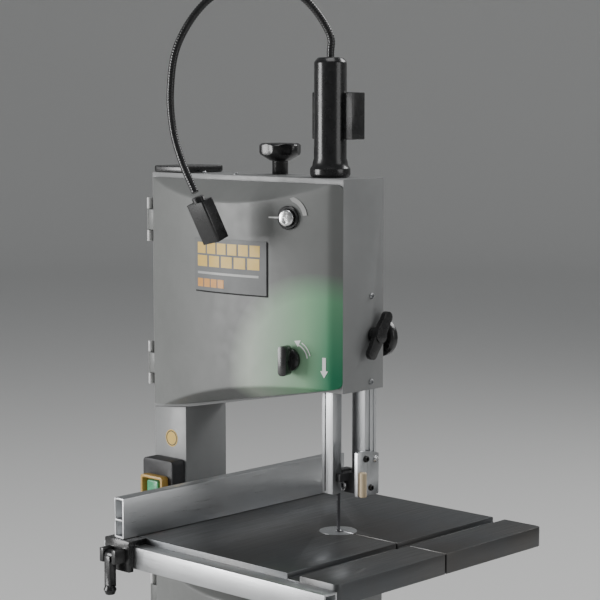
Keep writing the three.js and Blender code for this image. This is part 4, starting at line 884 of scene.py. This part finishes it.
def lock_details():
    """Black ring, pointer line and arc arrow round the upper lock's bright barrel."""
    at = middle("upper_door_lock")
    x, z = 110 * MM, at.z
    ring = bmesh.new()
    profile = [
        (10.9 * MM, 0.05 * MM),
        (15 * MM, 0.05 * MM),
        (15 * MM, 2.5 * MM),
        (14 * MM, 3.6 * MM),
        (11.8 * MM, 3.6 * MM),
        (10.9 * MM, 2.8 * MM),
        (10.9 * MM, 0.05 * MM),
    ]
    lathe(ring, profile, upper_door.place(x, z), 48)
    piece("lock_ring", ring, "black_plastic", "upper_door")
    marks = bmesh.new()
    place = upper_door.place(x, z, 0.1 * MM)
    arc_band(marks, place, 24 * MM, 6 * MM, 8, 72, 0.3 * MM)
    arrow_head(marks, place, 24 * MM, 72, 6 * MM, 0.3 * MM)
    piece("lock_arc_mark", marks, "frame_grey", "upper_door")
    pointer = bmesh.new()
    place = upper_door.place(x, z, 3.4 * MM)
    outline = [(-27 * MM, -0.9 * MM), (-4 * MM, -1.2 * MM), (-4 * MM, 1.2 * MM), (-27 * MM, 0.9 * MM)]
    prism(pointer, outline, 0.5 * MM, place)
    piece("lock_pointer", pointer, "white_paint", "upper_door")


def latch_details(door, node):
    """A pale turning arrow printed beside the latch knob."""
    z = middle(node).z
    x = 112 * MM
    place = door.place(x + 4 * MM, z, 0.1 * MM)
    marks = bmesh.new()
    arc_band(marks, place, 21 * MM, 1.6 * MM, 8, 66, 0.3 * MM)
    arc_band(marks, place, 25.5 * MM, 1.2 * MM, 14, 60, 0.3 * MM)
    arrow_head(marks, place, 23 * MM, 66, 8 * MM, 0.3 * MM)
    piece(node + "_arrow_mark", marks, "white_paint", door.node)


def down_arrow():
    place = upper_door.place(158 * MM, TOP - 237 * MM, 0.1 * MM)
    marks = bmesh.new()
    shaft, head = 2.4 * MM, 5.2 * MM
    top, neck = 13 * MM, -4 * MM
    right_side = [(head, neck), (shaft, neck), (shaft, top)]
    outline = [(-x, z) for x, z in right_side[::-1]] + [(0, -top)] + right_side
    prism(marks, outline, 0.3 * MM, place)
    piece("door_arrow_mark", marks, "white_paint", "upper_door")


lock_details()
latch_details(upper_door, "upper_door_latch")
latch_details(lower_door, "lower_door_latch")
down_arrow()


def cap_screw(bm, origin, outward, radius=3.2 * MM, height=2.2 * MM):
    """A domed hexagon-socket screw head."""
    profile = [
        (radius * 0.5, height * 0.35),
        (radius * 0.52, height * 0.95),
        (radius * 0.75, height),
        (radius * 0.95, height * 0.6),
        (radius, 0.1 * MM),
        (0, 0.1 * MM),
    ]
    up = (0, 0.3, 1) if abs(outward[2]) < 0.9 else (0, 1, 0)
    lathe(bm, [(0, height * 0.35)] + profile, facing(origin, outward, up), 24)


def screws():
    bright = bmesh.new()
    for y, z in ((13.6, -149.5), (12.8, -260.1)):
        cap_screw(bright, (RIGHT, y * MM, TOP + z * MM), (1, 0, 0), 4 * MM, 2.6 * MM)
    for x, y in ((-107, -9), (-37, -17)):
        cap_screw(bright, (x * MM, y * MM, TOP), (0, 0, 1), 3.4 * MM, 2.2 * MM)
    piece("frame_screws", bright, "steel", "frame")
    side = high("guide_plate").x
    plate = bmesh.new()
    cap_screw(plate, (side, 23 * MM, high("guide_plate").z - 13 * MM), (1, 0, 0), 4.6 * MM, 3.4 * MM)
    piece("guide_plate_screw", plate, "chrome", "guide_post")
    dark = bmesh.new()
    cap_screw(dark, (side, 4 * MM, high("guide_plate").z - 10 * MM), (1, 0, 0), 4.6 * MM, 3.4 * MM)
    cap_screw(dark, (side, 14 * MM, low("guide_plate").z + 10 * MM), (1, 0, 0), 4.2 * MM, 3 * MM)
    piece("guide_plate_black_screws", dark, "black_plastic", "guide_post")


screws()


def hinge_screws():
    for prefix in ("upper_hinge_", "lower_hinge_"):
        bm = bmesh.new()
        for i in (1, 2):
            node = prefix + str(i)
            x = LEFT - 2.3 * MM
            for share in (0.18, 0.82):
                z = low(node).z + (high(node).z - low(node).z) * share
                cap_screw(bm, (x, high(node).y - 10 * MM, z), (-1, 0, 0), 3 * MM, 1.8 * MM)
        piece(prefix + "screws", bm, "steel", "frame")


hinge_screws()


def guide_buffer():
    """The nylon buffer beside the guide plate."""
    bm = bmesh.new()
    radius, height = 4.7 * MM, 32 * MM
    x, z = high("guide_plate").x + radius - 0.4 * MM, low("guide_plate").z + 1 * MM
    edge = 0.8 * MM
    profile = [(0, 0), (radius - edge, 0), (radius, edge)]
    profile += [(radius, height - edge), (radius - edge, height), (0, height)]
    lathe(bm, profile, Matrix.Translation((x, -5.7 * MM, z)), 32)
    piece("guide_buffer", bm, "nylon", "guide_post")


guide_buffer()


def guard_groove_shade():
    """A dark strip laid on the blade guard's front, between its two folds: painted shade standing for the groove
    there.
    """
    lo, hi = low("blade_guard"), high("blade_guard")
    start = lo.x + (hi.x - lo.x) * 0.27
    bm = bmesh.new()
    rounded_box(
        bm,
        (start, lo.y - 0.25 * MM, lo.z + 3 * MM),
        (start + 1.8 * MM, lo.y - 0.05 * MM, hi.z - 2 * MM),
        0.05 * MM,
        1,
    )
    piece("guard_groove_shade", bm, "painted_shade", "guide_post")


guard_groove_shade()


def column_sticker():
    """A plain round badge on the column's front, with no symbol."""
    bm = bmesh.new()
    place = facing(((LEFT + high("column").x) / 2 + 3 * MM, FRAME_FRONT, TOP - 367 * MM), (0, -1, 0))
    lathe(bm, [(0, 0.05 * MM), (12 * MM, 0.05 * MM), (12 * MM, 0.35 * MM), (0, 0.35 * MM)], place, 48)
    piece("column_badge", bm, "yellow_print", "frame")
    ring = bmesh.new()
    inner, outer, under, face = 9.2 * MM, 10.6 * MM, 0.36 * MM, 0.55 * MM
    profile = [(inner, under), (outer, under), (outer, face), (inner, face), (inner, under)]
    lathe(ring, profile, place, 48)
    piece("column_badge_ring", ring, "black_plastic", "frame")


column_sticker()


def motor_details():
    """Cooling fins along the motor, and dark rings on its fan cowl's end as painted shade of the vents."""
    centre = middle("motor_pulley")
    y0, y1 = low("motor_body").y + 16 * MM, high("motor_body").y - 48 * MM
    bm = bmesh.new()
    for i in range(40):
        turn = math.tau * i / 40
        matrix = Matrix.Translation((centre.x, 0, centre.z)) @ Matrix.Rotation(turn, 4, "Y")
        rounded_box(bm, (55 * MM, y0, -0.9 * MM), (59.6 * MM, y1, 0.9 * MM), 0.5 * MM, 1, matrix)
    piece("motor_fins", bm, "cast_parts", "frame")
    # Dark rings set in the cowl's end: painted shade of the vents.
    vents = bmesh.new()
    end = high("motor_body").y
    for ring in (14, 24, 34, 44):
        profile = [
            (ring * MM, 0.05 * MM),
            ((ring + 4) * MM, 0.05 * MM),
            ((ring + 4) * MM, 0.4 * MM),
            (ring * MM, 0.4 * MM),
            (ring * MM, 0.05 * MM),
        ]
        lathe(vents, profile, facing((centre.x, end - 0.35 * MM, centre.z), (0, 1, 0)), 48)
    piece("motor_vent_shade", vents, "painted_shade", "frame")


motor_details()


def lamp_lens():
    """The lamp's emitting face as three pale lens domes, unlit, set in the head's open end."""
    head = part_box("lamp_head")
    centre = (head[0] + head[1]) / 2
    down = Vector((0.2, 0.34, -0.92)).normalized()
    bm = bmesh.new()
    place = facing(centre + down * 24.6 * MM, down, (0, 1, 0))
    for i in range(3):
        x = (i - 1) * 8 * MM
        profile = [(0, 0), (3.2 * MM, 0), (3.2 * MM, 0.8 * MM), (2 * MM, 1.8 * MM), (0, 2.2 * MM)]
        lathe(bm, profile, place @ Matrix.Translation((x, 0, 0)), 24)
    piece("lamp_emitters", bm, "lamp_lens", "lamp")


lamp_lens()


# ---- Stage, lights and camera ----
CAMERA_PLACE = (1.6834, -1.713, 0.933)
CAMERA_AZIMUTH = 43.38
CAMERA_PITCH = 6.30
CAMERA_LENS = 108.5


def stage():
    """A floor that curves up into a low round wall, wide enough for every view."""
    floor = Shader("stage_floor", (0.78, 0.78, 0.77), 0.85)
    floor.bump(floor.noise(40, 2), 0.03, 0.3 * MM)
    reach, rise, radius = 9.5, 3.6, 2.0
    profile = [(0, 0), (reach - radius, 0)]
    for i in range(1, 13):
        turn = math.pi / 2 * i / 12
        profile.append((reach - radius + radius * math.sin(turn), radius - radius * math.cos(turn)))
    profile.append((reach, rise))
    bm = bmesh.new()
    lathe(bm, profile, sides=96)
    backdrop = finished("stage_backdrop", bm, 60)
    backdrop.data.materials.append(floor.material)


def area_light(name, place, target, size, power, color=(1, 1, 1)):
    data = bpy.data.lights.new(name, "AREA")
    data.shape = "RECTANGLE"
    data.size, data.size_y = size
    data.energy = power
    data.color = color
    light = bpy.data.objects.new(name, data)
    light.location = place
    light.rotation_mode = "QUATERNION"
    light.rotation_quaternion = (Vector(target) - Vector(place)).to_track_quat("-Z", "Y")
    bpy.context.scene.collection.objects.link(light)


def camera():
    data = bpy.data.cameras.new("camera")
    data.sensor_width = 36
    data.lens = CAMERA_LENS
    data.clip_start, data.clip_end = 0.05, 60
    made = bpy.data.objects.new("camera", data)
    made.location = CAMERA_PLACE
    azimuth, pitch = math.radians(CAMERA_AZIMUTH), math.radians(CAMERA_PITCH)
    made.rotation_euler = (math.pi / 2 - pitch, 0, azimuth)
    bpy.context.scene.collection.objects.link(made)
    bpy.context.scene.camera = made


def world():
    made = bpy.data.worlds.new("studio")
    made.use_nodes = True
    background = made.node_tree.nodes["Background"]
    background.inputs["Color"].default_value = (0.86, 0.88, 0.9, 1)
    background.inputs["Strength"].default_value = 0.24
    bpy.context.scene.world = made


stage()
world()
area_light("key", (-1.9, -2.7, 1.0), (0, 0, 0.6), (1.5, 1.5), 98)
area_light("fill", (3.0, 0.7, 1.4), (0, 0, 0.6), (1.6, 1.6), 14)
area_light("rim", (0.6, 2.2, 2.4), (0, 0, 0.8), (1.6, 1.0), 36)
area_light("top", (0.3, -0.2, 2.9), (0, 0, 0.5), (1.2, 1.2), 12)
camera()
